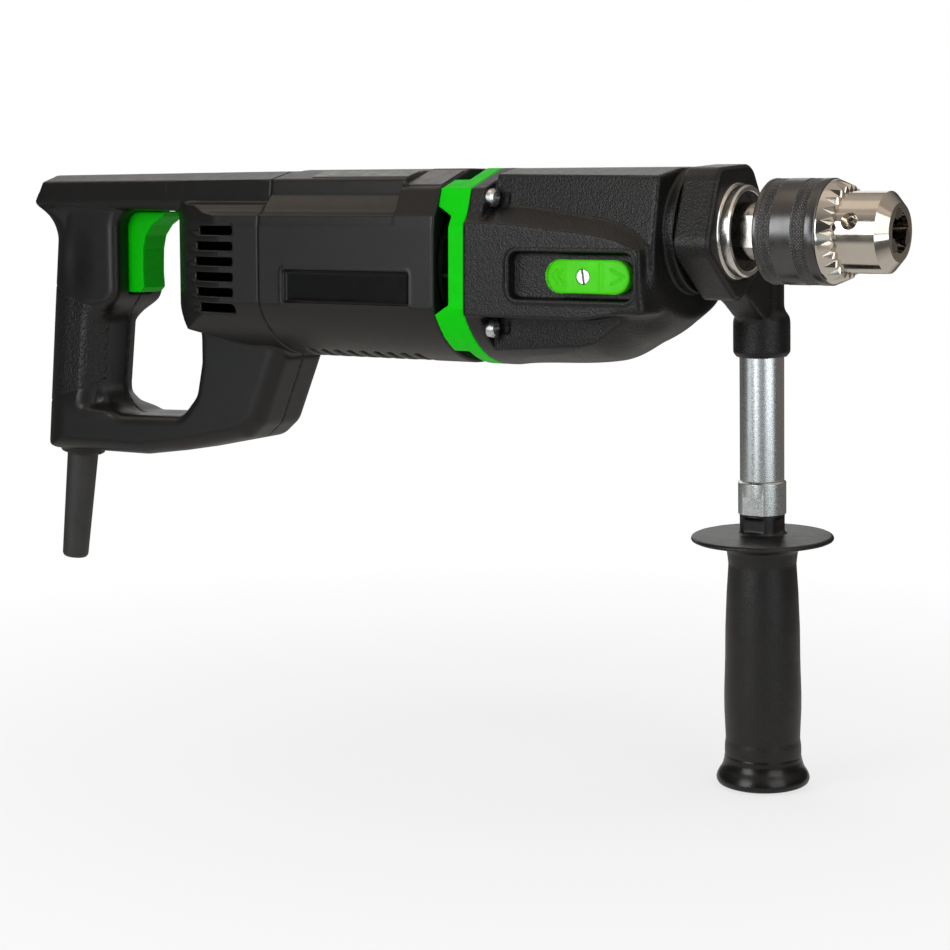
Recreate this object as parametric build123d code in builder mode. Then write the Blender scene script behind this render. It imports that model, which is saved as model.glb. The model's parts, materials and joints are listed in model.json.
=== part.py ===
from build123d import *
from math import acos, atan2, cos, degrees, pi, radians, sin, sqrt, tan
import os

# A corded two-speed drill with a rear D-handle, a keyed chuck and a clamp-on side handle.
# Millimetres. The origin is the centre of the chuck's nose face, +X points out of the chuck
# along the spindle, +Z is up and +Y is the tool's left side.
os.makedirs("parts", exist_ok=True)

# Clearances
running_gap = 0.05
press_gap = 0.03
seat_gap = 0.1
slide_gap = 0.3
hand_gap = 0.6

# Keyed chuck
chuck_length = 62.0
nose_radius = 17.6
nose_face_radius = 12.65
nose_cone_length = 4.5
chuck_bore_radius = 6.8
hub_radius = 15.0
hub_length = 2.8
jaw_count = 3
jaw_radius = 3.5
jaw_tilt = 13.0
jaw_axis_radius = 7.2
jaw_length = 53.0
open_grip_radius = 6.5
closed_grip_radius = 1.65
first_jaw_angle = 104.0
crown_step = 0.4
crown_back = 29.7
crown_depth = 7.0
crown_rim = 1.2
crown_teeth = 26
crown_tooth_depth = 2.7
sleeve_radius = 23.2
sleeve_length = 29.5
sleeve_wall = 1.9
sleeve_end_wall = 3.0
sleeve_chamfer = 1.6
nut_length = 6.0
key_hole_radius = 3.3
key_hole_back = 16.1
key_hole_floor = 9.5

# Spindle and its bearings
thread_radius = 7.9
thread_length = 14.5
shoulder_radius = 13.0
shoulder_length = 12.0
shoulder_flats = 22.0
spindle_radius = 8.5
tail_radius = 5.0
front_bearing_radius = 17.5
front_bearing_width = 10.0
rear_bush_radius = 7.0
rear_bush_length = 12.0
seal_width = 4.0
circlip_width = 1.2
circlip_depth = 0.7
circlip_height = 1.7

# Neck and clamp collar
neck_gap = 9.0
neck_radius = 21.5
rim_step = 1.1
rim_length = 4.6
collar_thickness = 17.2
collar_gap = 1.2
collar_chamfer = 1.6
collar_corner_radius = 9.0
collar_slot = 2.4

# Side handle, measured down its own axis from the spindle's height
side_handle_offset = 38.8
side_handle_swing = 2.37
lug_radius = 10.4
gusset_half_width = 8.0
lug_rise = 14.0
cup_wall = 2.9
cup_top = 40.0
cup_bottom = 58.2
cup_depth = 11.0
cup_flare = 3.5
stud_radius = 6.0
tube_radius = 10.3
tube_bore_radius = 6.5
ferrule_top = 116.0
ferrule_length = 15.6
ferrule_radius = 11.2
ferrule_flats = 20.0
ferrule_flat_length = 8.5
grip_neck_radius = 10.6
grip_neck_length = 10.0
flange_radius = 33.5
flange_thickness = 3.6
grip_top_radius = 15.9
grip_radius = 17.7
grip_end_radius = 22.2
grip_length = 120.4
grip_window_width = 11.0
grip_window_height = 7.0
grip_window_depth = 1.6
stud_grip_depth = 30.0

# Gear train: motor pinion and wheel, then two pinions and two gears on the spindle
pressure_angle = 25.0
backlash = 0.16
first_module = 0.75
motor_pinion_teeth = 12
wheel_teeth = 42
spindle_module = 1.25
low_pinion_teeth = 12
low_gear_teeth = 32
high_pinion_teeth = 18
wheel_width = 8.0
gear_width = 12.0
high_gear_width = 10.0
shaft_gap = 3.0
countershaft_radius = 6.0
countershaft_journal = 3.0
countershaft_bush_radius = 5.0
countershaft_bush_length = 7.0

# Speed selector
dog_sleeve_radius = 16.0
dog_sleeve_length = 12.0
dog_groove_width = 4.4
dog_groove_depth = 2.8
dog_height = 3.0
dog_width = 4.5
dog_clearance = 2.0
dog_depth = 2.5
dog_count = 4
spline_count = 6
spline_width = 3.0
spline_depth = 1.0
selector_travel = 15.0
selector_length = 43.0
selector_height = 15.2
selector_rise = 6.2
selector_z = -20.0
selector_reach = 10.0
selector_lead = 1.6
selector_screw_radius = 3.2
recess_margin = 4.0
recess_height = 21.0
recess_depth = 6.0
recess_corner = 4.0
fork_thickness = 4.0
fork_shank = 6.0

# Barrel: gear housing, air ring and motor housing
motor_drop = 17.5
barrel_radius = 46.0
barrel_half_width = 42.0
casting_half_width = 36.0
gear_housing_length = 101.0
boss_radius = 28.0
panel_root_depth = 16.0
left_panel_setback = 20.0
boss_length = 5.0
rear_flange = 8.0
ring_width = 16.5
ring_slot_width = 8.2
ring_slot_slant = 4.5
motor_length = 103.0
motor_wall = 4.0
case_screw_inset = 11.0
case_screw_drop = 13.8
case_screw_below = 27.5
case_screw_radius = 2.5
case_screw_head = 4.25
case_screw_head_height = 3.8
case_screw_grip = 16.0
pocket_radius = 5.2
pocket_length = 8.0
name_recess_length = 74.0
name_recess_height = 15.6
name_recess_depth = 2.0
name_recess_lead = 11.5
name_recess_drop = 10.0
louvre_count = 9
louvre_pitch = 8.0
louvre_width = 3.0
louvre_half_reach = 19.0
louvre_lead = 12.0
strip_length = 57.0
strip_width = 11.0
plate_length = 19.0
plate_width = 20.0
plate_thickness = 0.5

# Motor
shield_thickness = 8.4
shield_boss_radius = 10.0
shield_boss_length = 16.0
armature_shaft_radius = 6.0
front_ball_radius = 14.0
front_ball_width = 7.6
rear_journal_radius = 4.0
rear_ball_radius = 11.0
rear_ball_width = 7.0
fan_gap = 2.5
fan_width = 9.0
fan_disc = 2.0
fan_hub_radius = 11.0
fan_blades = 12
stator_gap = 0.4
pole_radius = 22.2
yoke_thickness = 6.6
air_gap = 0.7
commutator_radius = 13.0
commutator_length = 13.0
commutator_bars = 22
winding_radius = 19.0
winding_overhang = 6.5
carrier_thickness = 7.6
brush_width = 6.0
brush_height = 10.0
brush_length = 15.0
brush_holder_wall = 1.2
brush_spring_length = 5.0

# D-handle
shell_wall = 3.0
handle_half_width = 20.0
handle_fillet = 8.0
opening_fillet = 5.0
bar_top_half_width = 30.5
bar_half_width = 32.0
bar_rear_half_width = 20.5
vent_count = 6
vent_pitch = 7.6
vent_height = 4.1
vent_back = 46.0
vent_bow = 5.0
vent_front = 16.5
vent_top = 0.8
side_wall = 4.5
grip_round = 22.0
grip_lean = 5.0
baffle_thickness = 2.0
handle_screw_radius = 1.9
handle_screw_head = 3.6
handle_screw_head_height = 2.6
handle_screw_length = 26.0
handle_boss_wall = 1.5
handle_screw_depth = 8.0
trigger_half_width = 8.6
trigger_travel = 7.0
plunger_radius = 3.0
switch_length = 17.0
switch_width = 25.0
switch_height = 36.0
spring_radius = 5.0
spring_wire = 0.5
spring_turns = 4
module_length = 22.0
module_width = 28.0
module_height = 34.0
sleeve_lean = 7.3
cable_sleeve_length = 59.6
cable_sleeve_top_radius = 8.3
cable_sleeve_end_radius = 7.0
cable_sleeve_flange_radius = 10.5
cable_sleeve_flange = 3.0
cable_radius = 4.2
cable_lead_in = 1.0
cable_sleeve_seat = 6.0
socket_radius = 12.0
clamp_screw_radius = 1.5
clamp_post_radius = 3.4

# Stations along X, counted back from the chuck's nose face
chuck_back = -chuck_length
spindle_shoulder_back = chuck_back - shoulder_length
neck_front = chuck_back - neck_gap
collar_front = neck_front - rim_length
collar_back = collar_front - collar_thickness
boss_front = collar_back - collar_gap
casting_front = boss_front - boss_length
casting_back = boss_front - gear_housing_length
ring_back = casting_back - ring_width
motor_back = ring_back - motor_length
crown_front = crown_depth - crown_back
sleeve_back = -crown_back - sleeve_length
shield_back = casting_back - shield_thickness

# Sizes that follow from others
crown_radius = sleeve_radius - crown_step
rim_radius = neck_radius - rim_step
cup_radius = tube_radius + cup_wall
high_gear_teeth = low_pinion_teeth + low_gear_teeth - high_pinion_teeth
dog_inner_radius = spindle_radius + dog_clearance
dog_outer_radius = dog_inner_radius + dog_depth
motor_bore_radius = barrel_half_width - motor_wall
fan_radius = motor_bore_radius - fan_gap
stator_radius = motor_bore_radius - stator_gap
yoke_radius = stator_radius - yoke_thickness
handle_boss_radius = handle_screw_head + slide_gap + handle_boss_wall

# Axes of the three shafts
motor_z = -motor_drop
first_centres = first_module * (motor_pinion_teeth + wheel_teeth) / 2
spindle_centres = spindle_module * (low_pinion_teeth + low_gear_teeth) / 2
counter_z = (first_centres**2 - spindle_centres**2 - motor_drop**2) / (2 * motor_drop)
counter_y = sqrt(spindle_centres**2 - counter_z**2)
counter_from_motor = degrees(atan2(counter_z - motor_z, counter_y))
spindle_from_counter = degrees(atan2(-counter_z, -counter_y))

# Stations of the gear train
wheel_back = casting_back + shaft_gap
boss_end = casting_back + shield_boss_length
high_gear_back = boss_end + shaft_gap
high_gear_front = high_gear_back + high_gear_width
sleeve_rest_back = high_gear_front + selector_travel + dog_height + hand_gap
sleeve_rest_front = sleeve_rest_back + dog_sleeve_length
low_gear_back = sleeve_rest_front + slide_gap
low_gear_front = low_gear_back + gear_width
cavity_front = low_gear_front + 2 * shaft_gap
fork_middle = (sleeve_rest_back + sleeve_rest_front) / 2
selector_screw_x = fork_middle + selector_reach
selector_centre = selector_screw_x + selector_lead
recess_back = selector_centre - selector_length / 2 - selector_travel - recess_margin
recess_front = selector_centre + selector_length / 2 + recess_margin / 2
tail_back = casting_back + shaft_gap + 1
tail_front = boss_end + 1
front_bearing_back = collar_front - seal_width - front_bearing_width


def write(piece, name):
    """Label a finished piece and write it to its own file."""
    piece.part.label = name
    export_step(piece.part, f"parts/{name}.step")


def across(x, y=0.0, z=0.0):
    """Plane square to X, with its own x along Y and its own y along Z."""
    return Plane(origin=(x, y, z), x_dir=(0, 1, 0), z_dir=(1, 0, 0))


def turn(outline, y=0.0, z=0.0, mode=Mode.ADD):
    """Turn an (x, radius) outline about a line parallel to X."""
    with BuildSketch(Plane(origin=(0, y, z), x_dir=(1, 0, 0), z_dir=(0, -1, 0))) as half:
        with BuildLine():
            Polyline(*outline, close=True)
        make_face()
    revolve(half.sketch, axis=Axis((0, y, z), (1, 0, 0)), mode=mode)


def rod(x_from, x_to, radius, y=0.0, z=0.0, mode=Mode.ADD):
    """Round bar parallel to X."""
    with BuildSketch(across(x_from, y, z)) as disc:
        Circle(radius)
    extrude(disc.sketch, amount=x_to - x_from, mode=mode)


def tube(x_from, x_to, outer, inner, y=0.0, z=0.0):
    """Plain ring or tube parallel to X."""
    with BuildSketch(across(x_from, y, z)) as ring:
        Circle(outer)
        Circle(inner, mode=Mode.SUBTRACT)
    extrude(ring.sketch, amount=x_to - x_from)


def block(x_from, x_to, y_from, y_to, z_from, z_to, mode=Mode.ADD):
    """Box between two corners."""
    with Locations(((x_from + x_to) / 2, (y_from + y_to) / 2, (z_from + z_to) / 2)):
        Box(x_to - x_from, y_to - y_from, z_to - z_from, mode=mode)


def ball_bearing(x_from, width, outer, bore, y=0.0, z=0.0):
    """Sealed bearing: a ring with shallow seal faces between its two races."""
    race = (outer - bore) / 4
    dish = width / 10
    x_to = x_from + width
    turn([(x_from, bore), (x_to, bore), (x_to, bore + race), (x_to - dish, bore + race),
          (x_to - dish, outer - race), (x_to, outer - race), (x_to, outer), (x_from, outer),
          (x_from, outer - race), (x_from + dish, outer - race), (x_from + dish, bore + race),
          (x_from, bore + race)], y, z)


def involute(base_radius, radius):
    """Polar angle that an involute has swept where it reaches a radius."""
    roll = acos(base_radius / radius)
    return tan(roll) - roll


def spur(x_from, width, module, teeth, tooth_angle, y=0.0, z=0.0):
    """Spur gear whose first tooth is centred on tooth_angle, in degrees from +Y towards +Z."""
    flank_steps = 5
    pitch_radius = module * teeth / 2
    base_radius = pitch_radius * cos(radians(pressure_angle))
    tip_radius = pitch_radius + module
    root_radius = pitch_radius - 1.25 * module
    half_pitch = (pi * module - backlash) / 4 / pitch_radius + involute(base_radius, pitch_radius)
    flank = [base_radius + (tip_radius - base_radius) * step / flank_steps for step in range(flank_steps + 1)]
    one_side = [(0.8 * root_radius, half_pitch)]
    one_side += [(radius, half_pitch - involute(base_radius, radius)) for radius in flank]
    other_side = [(radius, -angle) for radius, angle in reversed(one_side)]
    with BuildSketch() as tooth:
        with BuildLine():
            Polyline(*[(r * cos(a), r * sin(a)) for r, a in one_side + other_side], close=True)
        make_face()
    with BuildSketch(across(x_from, y, z)) as face:
        Circle(root_radius)
        with PolarLocations(0, teeth, start_angle=tooth_angle):
            add(tooth.sketch)
    extrude(face.sketch, amount=width)


def mirrored(outline):
    """Close a one-sided (y, z) outline, listed from the top down, over the middle plane."""
    return outline + [(-y, z) for y, z in reversed(outline)]


def barrel(x_from, x_to, shoulder, trim=0.0, half_width=barrel_half_width, mode=Mode.ADD):
    """Length of the barrel: a flat-sided round with a squarer shoulder above its axis."""
    with BuildSketch(across(x_from)) as section:
        with Locations((0, motor_z)):
            Circle(barrel_radius - trim)
            Rectangle(2 * (half_width - trim), 2 * barrel_radius, mode=Mode.INTERSECT)
        with BuildLine():
            Polyline(*mirrored([(y - trim * y / half_width, z - trim) for y, z in shoulder]), close=True)
        make_face()
    extrude(section.sketch, amount=x_to - x_from, mode=mode)


# One-sided outlines across the barrel, from the top down
barrel_top = barrel_radius - motor_drop
barrel_bottom = motor_z - barrel_radius
spine_foot = barrel_top - 16.5
flank_top = barrel_top - 22.3
flank_full = barrel_top - 32.5
ring_shoulder = [(9.2, barrel_top), (barrel_half_width - 7, barrel_top - 9.5), (barrel_half_width, flank_full),
                 (barrel_half_width, motor_z)]
block_shoulder = [(9.2, barrel_top), (barrel_half_width - 6.5, barrel_top - 9.3),
                  (barrel_half_width - 0.5, flank_top), (barrel_half_width, flank_full),
                  (barrel_half_width, motor_z)]
spine_shoulder = [(14.0, barrel_top - 0.8), (bar_top_half_width, barrel_top - 4.9), (bar_half_width, spine_foot),
                  (barrel_half_width - 0.5, flank_top), (barrel_half_width - 0.5, motor_z)]
casting_lean = 4.5
casting_edge = barrel_top - 4.3
casting_shoulder = [(10.0, barrel_top - 0.4), (casting_half_width - casting_lean, casting_edge),
                    (casting_half_width, flank_full), (casting_half_width, motor_z)]
case_screw_y = barrel_half_width - case_screw_inset
case_screw_top = barrel_top - case_screw_drop
case_screw_bottom = motor_z - case_screw_below

case_screw_places = [(side * case_screw_y, z) for side in (-1, 1) for z in (case_screw_top, case_screw_bottom)]
case_screw_seat = casting_back + rear_flange
case_screw_end = ring_back - case_screw_grip

# Chuck body, screwed onto the spindle, with the jaw ways and the key holes
jaw_slope = tan(radians(jaw_tilt))
jaw_shift = open_grip_radius - closed_grip_radius
jaw_angles = [first_jaw_angle + step * 360 / jaw_count for step in range(jaw_count)]


def jaw_bar(radius, front, back, angle, mode=Mode.ADD):
    """Slanted round bar along a jaw's own axis, at an angle about the spindle."""
    radial = Vector(0, cos(radians(angle)), sin(radians(angle)))
    along = Vector(-cos(radians(jaw_tilt)), 0, 0) + radial * sin(radians(jaw_tilt))
    start = radial * jaw_axis_radius - along * front
    with BuildSketch(Plane(origin=start, z_dir=along)) as disc:
        Circle(radius)
    extrude(disc.sketch, amount=front + back, mode=mode)


with BuildPart() as chuck_body:
    turn([(0, chuck_bore_radius), (0, nose_face_radius), (-nose_cone_length, nose_radius),
          (chuck_back + hub_length, nose_radius), (chuck_back + hub_length, hub_radius),
          (chuck_back, hub_radius), (chuck_back, thread_radius + running_gap),
          (chuck_back + thread_length + 1, thread_radius + running_gap),
          (chuck_back + thread_length + 1, chuck_bore_radius)])
    for angle in jaw_angles:
        jaw_bar(jaw_radius + running_gap, 10.0, jaw_length + 2.0, angle, Mode.SUBTRACT)
    for angle in jaw_angles:
        key_angle = radians(angle + 180 / jaw_count)
        key_axis = Vector(0, cos(key_angle), sin(key_angle))
        key_floor = key_axis * key_hole_floor + Vector(-key_hole_back, 0, 0)
        with BuildSketch(Plane(origin=key_floor, z_dir=key_axis)) as key_hole:
            Circle(key_hole_radius)
        extrude(key_hole.sketch, amount=nose_radius, mode=Mode.SUBTRACT)
write(chuck_body, "chuck_body")

# Jaws: slanted bars, ground to the grip radius when open, with flanks that let all three close
nut_bore = [jaw_axis_radius + jaw_slope * depth + jaw_radius / cos(radians(jaw_tilt)) + seat_gap
            for depth in (crown_back + seat_gap, crown_back + nut_length)]
sleeve_bore_radius = sleeve_radius - sleeve_wall
for number, angle in enumerate(jaw_angles, start=1):
    apex = jaw_shift + seat_gap
    reach = 3 * nose_radius
    with BuildPart() as jaw:
        jaw_bar(jaw_radius, 10.0, jaw_length, angle)
        rod(-2 * jaw_length, 0, sleeve_bore_radius - slide_gap, mode=Mode.INTERSECT)
        rod(-2 * jaw_length, 2 * jaw_length, open_grip_radius, mode=Mode.SUBTRACT)
        with BuildSketch(across(-2 * jaw_length)) as wedge:
            with BuildLine(Plane.XY.rotated((0, 0, angle))):
                Polyline((apex, 0), (apex + reach, reach * tan(pi / 3)), (apex + reach, -reach * tan(pi / 3)),
                         close=True)
            make_face()
        extrude(wedge.sketch, amount=4 * jaw_length, mode=Mode.INTERSECT)
    write(jaw, f"chuck_jaw_{number}")

# Knurled sleeve that turns on the chuck body
with BuildPart() as chuck_sleeve:
    turn([(-crown_back, sleeve_bore_radius), (-crown_back, sleeve_radius - 0.3), (-crown_back - 0.5, sleeve_radius),
          (sleeve_back + sleeve_chamfer, sleeve_radius), (sleeve_back, sleeve_radius - sleeve_chamfer),
          (sleeve_back, nose_radius + running_gap), (sleeve_back + sleeve_end_wall, nose_radius + running_gap),
          (sleeve_back + sleeve_end_wall, sleeve_bore_radius)])
write(chuck_sleeve, "chuck_sleeve")

# Toothed crown that the chuck key turns
with BuildPart() as chuck_crown:
    crown_inner = nose_radius + running_gap
    crown_shelf = -crown_back + crown_rim
    turn([(-crown_back, crown_inner), (crown_front, crown_inner), (crown_front, crown_inner + 0.6),
          (crown_shelf, crown_radius), (-crown_back, crown_radius)])
    crown_rise = crown_front - crown_shelf
    crown_run = crown_radius - crown_inner - 0.6
    bed_slope = atan2(crown_rise - crown_tooth_depth, crown_run)
    groove_half_width = 0.7 * 2 * pi * crown_radius / crown_teeth
    for step in range(crown_teeth):
        turn_to = radians(360 * step / crown_teeth)
        outward = Vector(0, cos(turn_to), sin(turn_to))
        bed = outward * cos(bed_slope) - Vector(sin(bed_slope), 0, 0)
        facing = Vector(cos(bed_slope), 0, 0) + outward * sin(bed_slope)
        start = outward * (crown_inner + 0.6) + Vector(crown_front - crown_tooth_depth, 0, 0) - bed * 2
        with BuildSketch(Plane(origin=start, x_dir=facing, z_dir=bed)) as groove:
            with BuildLine():
                Polyline((0, 0), (2 * crown_tooth_depth, -groove_half_width),
                         (2 * crown_tooth_depth, groove_half_width), close=True)
            make_face()
        extrude(groove.sketch, amount=crown_run + crown_rise, mode=Mode.SUBTRACT)
write(chuck_crown, "chuck_crown")

# Ring nut that drives the jaws, pressed into the sleeve behind the crown
with BuildPart() as chuck_nut:
    nut_front = -crown_back - seat_gap
    nut_back = -crown_back - nut_length
    turn([(nut_front, nut_bore[0]), (nut_front, sleeve_bore_radius - press_gap),
          (nut_back, sleeve_bore_radius - press_gap), (nut_back, nut_bore[1])])
write(chuck_nut, "chuck_nut")

# Spindle with the chuck thread, wrench shoulder, splines for the dog sleeve and rear tail
clip_backs = [high_gear_back - circlip_width - seat_gap, high_gear_front - circlip_height,
              low_gear_back + circlip_height - circlip_width]
with BuildPart() as spindle:
    turn([(chuck_back + thread_length, 0), (chuck_back + thread_length, thread_radius),
          (chuck_back, thread_radius), (chuck_back, shoulder_radius),
          (spindle_shoulder_back, shoulder_radius), (spindle_shoulder_back, spindle_radius),
          (low_gear_front + shaft_gap, spindle_radius), (low_gear_front + shaft_gap, spindle_radius + 2),
          (low_gear_front + seat_gap, spindle_radius + 2), (low_gear_front + seat_gap, spindle_radius),
          (tail_front, spindle_radius), (tail_front, tail_radius), (tail_back, tail_radius), (tail_back, 0)])
    for side in (-1, 1):
        flat_from = side * (shoulder_flats / 2 + shoulder_radius)
        with Locations(((chuck_back + spindle_shoulder_back) / 2, flat_from, 0)):
            Box(shoulder_length, 2 * shoulder_radius, 2 * shoulder_radius, mode=Mode.SUBTRACT)
    for clip_back in clip_backs:
        with BuildSketch(across(clip_back - press_gap)) as clip_groove:
            Circle(spindle_radius + 1)
            Circle(spindle_radius - circlip_depth - press_gap, mode=Mode.SUBTRACT)
        extrude(clip_groove.sketch, amount=circlip_width + 2 * press_gap, mode=Mode.SUBTRACT)
    with BuildSketch(across(high_gear_front + seat_gap)) as spline_grooves:
        with PolarLocations(spindle_radius, spline_count):
            Rectangle(2 * spline_depth, spline_width)
    extrude(spline_grooves.sketch, amount=low_gear_back - high_gear_front - 2 * seat_gap, mode=Mode.SUBTRACT)
write(spindle, "spindle")

with BuildPart() as spindle_circlips:
    for clip_back in clip_backs:
        tube(clip_back, clip_back + circlip_width, spindle_radius + circlip_height, spindle_radius - circlip_depth)
write(spindle_circlips, "spindle_circlips")

with BuildPart() as spindle_bearing_front:
    ball_bearing(front_bearing_back, front_bearing_width, front_bearing_radius - press_gap,
                 spindle_radius + running_gap)
write(spindle_bearing_front, "spindle_bearing_front")

with BuildPart() as shaft_seal:
    seal_back = front_bearing_back + front_bearing_width
    tube(seal_back + seat_gap, seal_back + seal_width, front_bearing_radius - press_gap,
         spindle_radius + running_gap)
write(shaft_seal, "shaft_seal")

with BuildPart() as spindle_bush_rear:
    tube(boss_end - rear_bush_length, boss_end, rear_bush_radius - press_gap, tail_radius + running_gap)
write(spindle_bush_rear, "spindle_bush_rear")


# Gears that run free on the spindle, with pockets for the dogs in the face towards the sleeve
def dog_pockets(x_from, depth):
    """Pockets in a gear's face, a little larger than the dogs."""
    with BuildSketch(across(x_from)) as pockets:
        with PolarLocations((dog_inner_radius + dog_outer_radius) / 2, dog_count):
            Rectangle(dog_outer_radius - dog_inner_radius + 2 * slide_gap, dog_width + 4 * slide_gap)
        Circle(spindle_radius + circlip_height + slide_gap)
    extrude(pockets.sketch, amount=depth, mode=Mode.SUBTRACT)


pocket_depth = dog_height + slide_gap
with BuildPart() as low_gear:
    spur(low_gear_back, gear_width, spindle_module, low_gear_teeth,
         spindle_from_counter + 180 + 180 / low_gear_teeth)
    rod(low_gear_back, low_gear_front, spindle_radius + running_gap, mode=Mode.SUBTRACT)
    dog_pockets(low_gear_back, pocket_depth)
write(low_gear, "low_gear")

with BuildPart() as high_gear:
    spur(high_gear_back, high_gear_width, spindle_module, high_gear_teeth,
         spindle_from_counter + 180 + 180 / high_gear_teeth)
    rod(high_gear_back, high_gear_front, spindle_radius + running_gap, mode=Mode.SUBTRACT)
    dog_pockets(high_gear_front - pocket_depth, pocket_depth)
write(high_gear, "high_gear")

# Dog sleeve: slides on the spindle's splines between the two gears
with BuildPart() as dog_sleeve:
    groove_back = (sleeve_rest_back + sleeve_rest_front - dog_groove_width) / 2
    groove_front = groove_back + dog_groove_width
    dog_bore = spindle_radius + running_gap
    turn([(sleeve_rest_back, dog_bore), (sleeve_rest_back, dog_sleeve_radius), (groove_back, dog_sleeve_radius),
          (groove_back, dog_sleeve_radius - dog_groove_depth), (groove_front, dog_sleeve_radius - dog_groove_depth),
          (groove_front, dog_sleeve_radius), (sleeve_rest_front, dog_sleeve_radius), (sleeve_rest_front, dog_bore)])
    with BuildSketch(across(sleeve_rest_back)) as keys:
        with PolarLocations(spindle_radius - spline_depth / 2 + slide_gap, spline_count):
            Rectangle(spline_depth, spline_width - 2 * seat_gap)
    extrude(keys.sketch, amount=dog_sleeve_length)
    for face in (sleeve_rest_back - dog_height, sleeve_rest_front):
        with BuildSketch(across(face)) as dogs:
            with PolarLocations((dog_inner_radius + dog_outer_radius) / 2, dog_count):
                Rectangle(dog_outer_radius - dog_inner_radius, dog_width)
        extrude(dogs.sketch, amount=dog_height)
write(dog_sleeve, "dog_sleeve")

# Countershaft with its two pinions, the wheel pressed onto it and its bushes
counter = (counter_y, counter_z)
counter_front = cavity_front + countershaft_bush_length
with BuildPart() as countershaft:
    rod(shield_back + 1, counter_front - seat_gap, countershaft_journal, *counter)
    rod(casting_back + seat_gap, cavity_front - seat_gap, countershaft_radius, *counter)
    spur(low_gear_back, gear_width, spindle_module, low_pinion_teeth, spindle_from_counter, *counter)
    spur(high_gear_back, high_gear_width, spindle_module, high_pinion_teeth, spindle_from_counter, *counter)
write(countershaft, "countershaft")

with BuildPart() as countershaft_wheel:
    spur(wheel_back, wheel_width, first_module, wheel_teeth, counter_from_motor + 180 + 180 / wheel_teeth, *counter)
    rod(wheel_back, wheel_back + wheel_width, countershaft_radius + press_gap, *counter, mode=Mode.SUBTRACT)
write(countershaft_wheel, "countershaft_wheel")

with BuildPart() as countershaft_bushes:
    for bush_back in (shield_back + 1, cavity_front):
        tube(bush_back, bush_back + countershaft_bush_length, countershaft_bush_radius - press_gap,
             countershaft_journal + running_gap, *counter)
write(countershaft_bushes, "countershaft_bushes")

# Armature: shaft with the motor pinion, iron core, windings, commutator and fan
carrier_back = motor_back + shell_wall
carrier_front = carrier_back + carrier_thickness
commutator_back = carrier_front + shaft_gap
stator_back = commutator_back + commutator_length + winding_overhang + shaft_gap
fan_front = shield_back - 1
fan_back = fan_front - fan_width
stator_front = fan_back - winding_overhang - shaft_gap
stator_length = stator_front - stator_back
with BuildPart() as armature_shaft:
    rod(carrier_back + seat_gap, carrier_front + 1, rear_journal_radius, z=motor_z)
    rod(carrier_front + 1, casting_back, armature_shaft_radius, z=motor_z)
    spur(casting_back, wheel_width + shaft_gap + 1, first_module, motor_pinion_teeth, counter_from_motor, z=motor_z)
write(armature_shaft, "armature_shaft")

with BuildPart() as armature_core:
    with BuildSketch(across(stator_back, z=motor_z)) as lamination:
        Circle(pole_radius - air_gap)
        Circle(armature_shaft_radius + press_gap, mode=Mode.SUBTRACT)
        with PolarLocations(pole_radius - air_gap, commutator_bars // 2):
            Rectangle(4.0, 1.6, mode=Mode.SUBTRACT)
    extrude(lamination.sketch, amount=stator_length)
write(armature_core, "armature_core")

with BuildPart() as armature_windings:
    for end_back in (stator_back - winding_overhang, stator_front):
        tube(end_back, end_back + winding_overhang, winding_radius, armature_shaft_radius + 1, z=motor_z)
write(armature_windings, "armature_windings")

with BuildPart() as commutator:
    with BuildSketch(across(commutator_back, z=motor_z)) as bars:
        Circle(commutator_radius)
        Circle(armature_shaft_radius + press_gap, mode=Mode.SUBTRACT)
        with PolarLocations(commutator_radius, commutator_bars):
            Rectangle(1.6, 0.6, mode=Mode.SUBTRACT)
    extrude(bars.sketch, amount=commutator_length)
write(commutator, "commutator")

with BuildPart() as cooling_fan:
    tube(fan_back, fan_front, fan_hub_radius, armature_shaft_radius + press_gap, z=motor_z)
    tube(fan_back, fan_back + fan_disc, fan_radius, fan_hub_radius - 1, z=motor_z)
    with BuildSketch(across(fan_back, z=motor_z)) as blades:
        with PolarLocations((fan_radius + fan_hub_radius) / 2, fan_blades):
            Rectangle(fan_radius - fan_hub_radius, 1.6, rotation=18)
    extrude(blades.sketch, amount=fan_width)
    rod(fan_back, fan_front, fan_radius, z=motor_z, mode=Mode.INTERSECT)
write(cooling_fan, "cooling_fan")

# Armature bearings
with BuildPart() as armature_bearing_front:
    ball_bearing(shield_back + seat_gap, front_ball_width, front_ball_radius - press_gap,
                 armature_shaft_radius + running_gap, z=motor_z)
write(armature_bearing_front, "armature_bearing_front")

with BuildPart() as armature_bearing_rear:
    ball_bearing(carrier_back + seat_gap, rear_ball_width, rear_ball_radius - press_gap,
                 rear_journal_radius + running_gap, z=motor_z)
write(armature_bearing_rear, "armature_bearing_rear")

# Stator: laminated yoke with two poles, and the two field coils beside them
with BuildPart() as stator_core:
    with BuildSketch(across(stator_back, z=motor_z)) as yoke:
        Circle(stator_radius)
        Circle(yoke_radius, mode=Mode.SUBTRACT)
        Rectangle(2 * winding_radius, 2 * yoke_radius + 1)
        Circle(pole_radius, mode=Mode.SUBTRACT)
    extrude(yoke.sketch, amount=stator_length)
write(stator_core, "stator_core")

with BuildPart() as field_coils:
    with BuildSketch(across(stator_back - winding_overhang, z=motor_z)) as coils:
        Circle(yoke_radius - seat_gap)
        Circle(pole_radius + air_gap, mode=Mode.SUBTRACT)
        Rectangle(2 * (winding_radius + seat_gap), 2 * yoke_radius + 1, mode=Mode.SUBTRACT)
    extrude(coils.sketch, amount=stator_length + 2 * winding_overhang)
write(field_coils, "field_coils")

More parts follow.
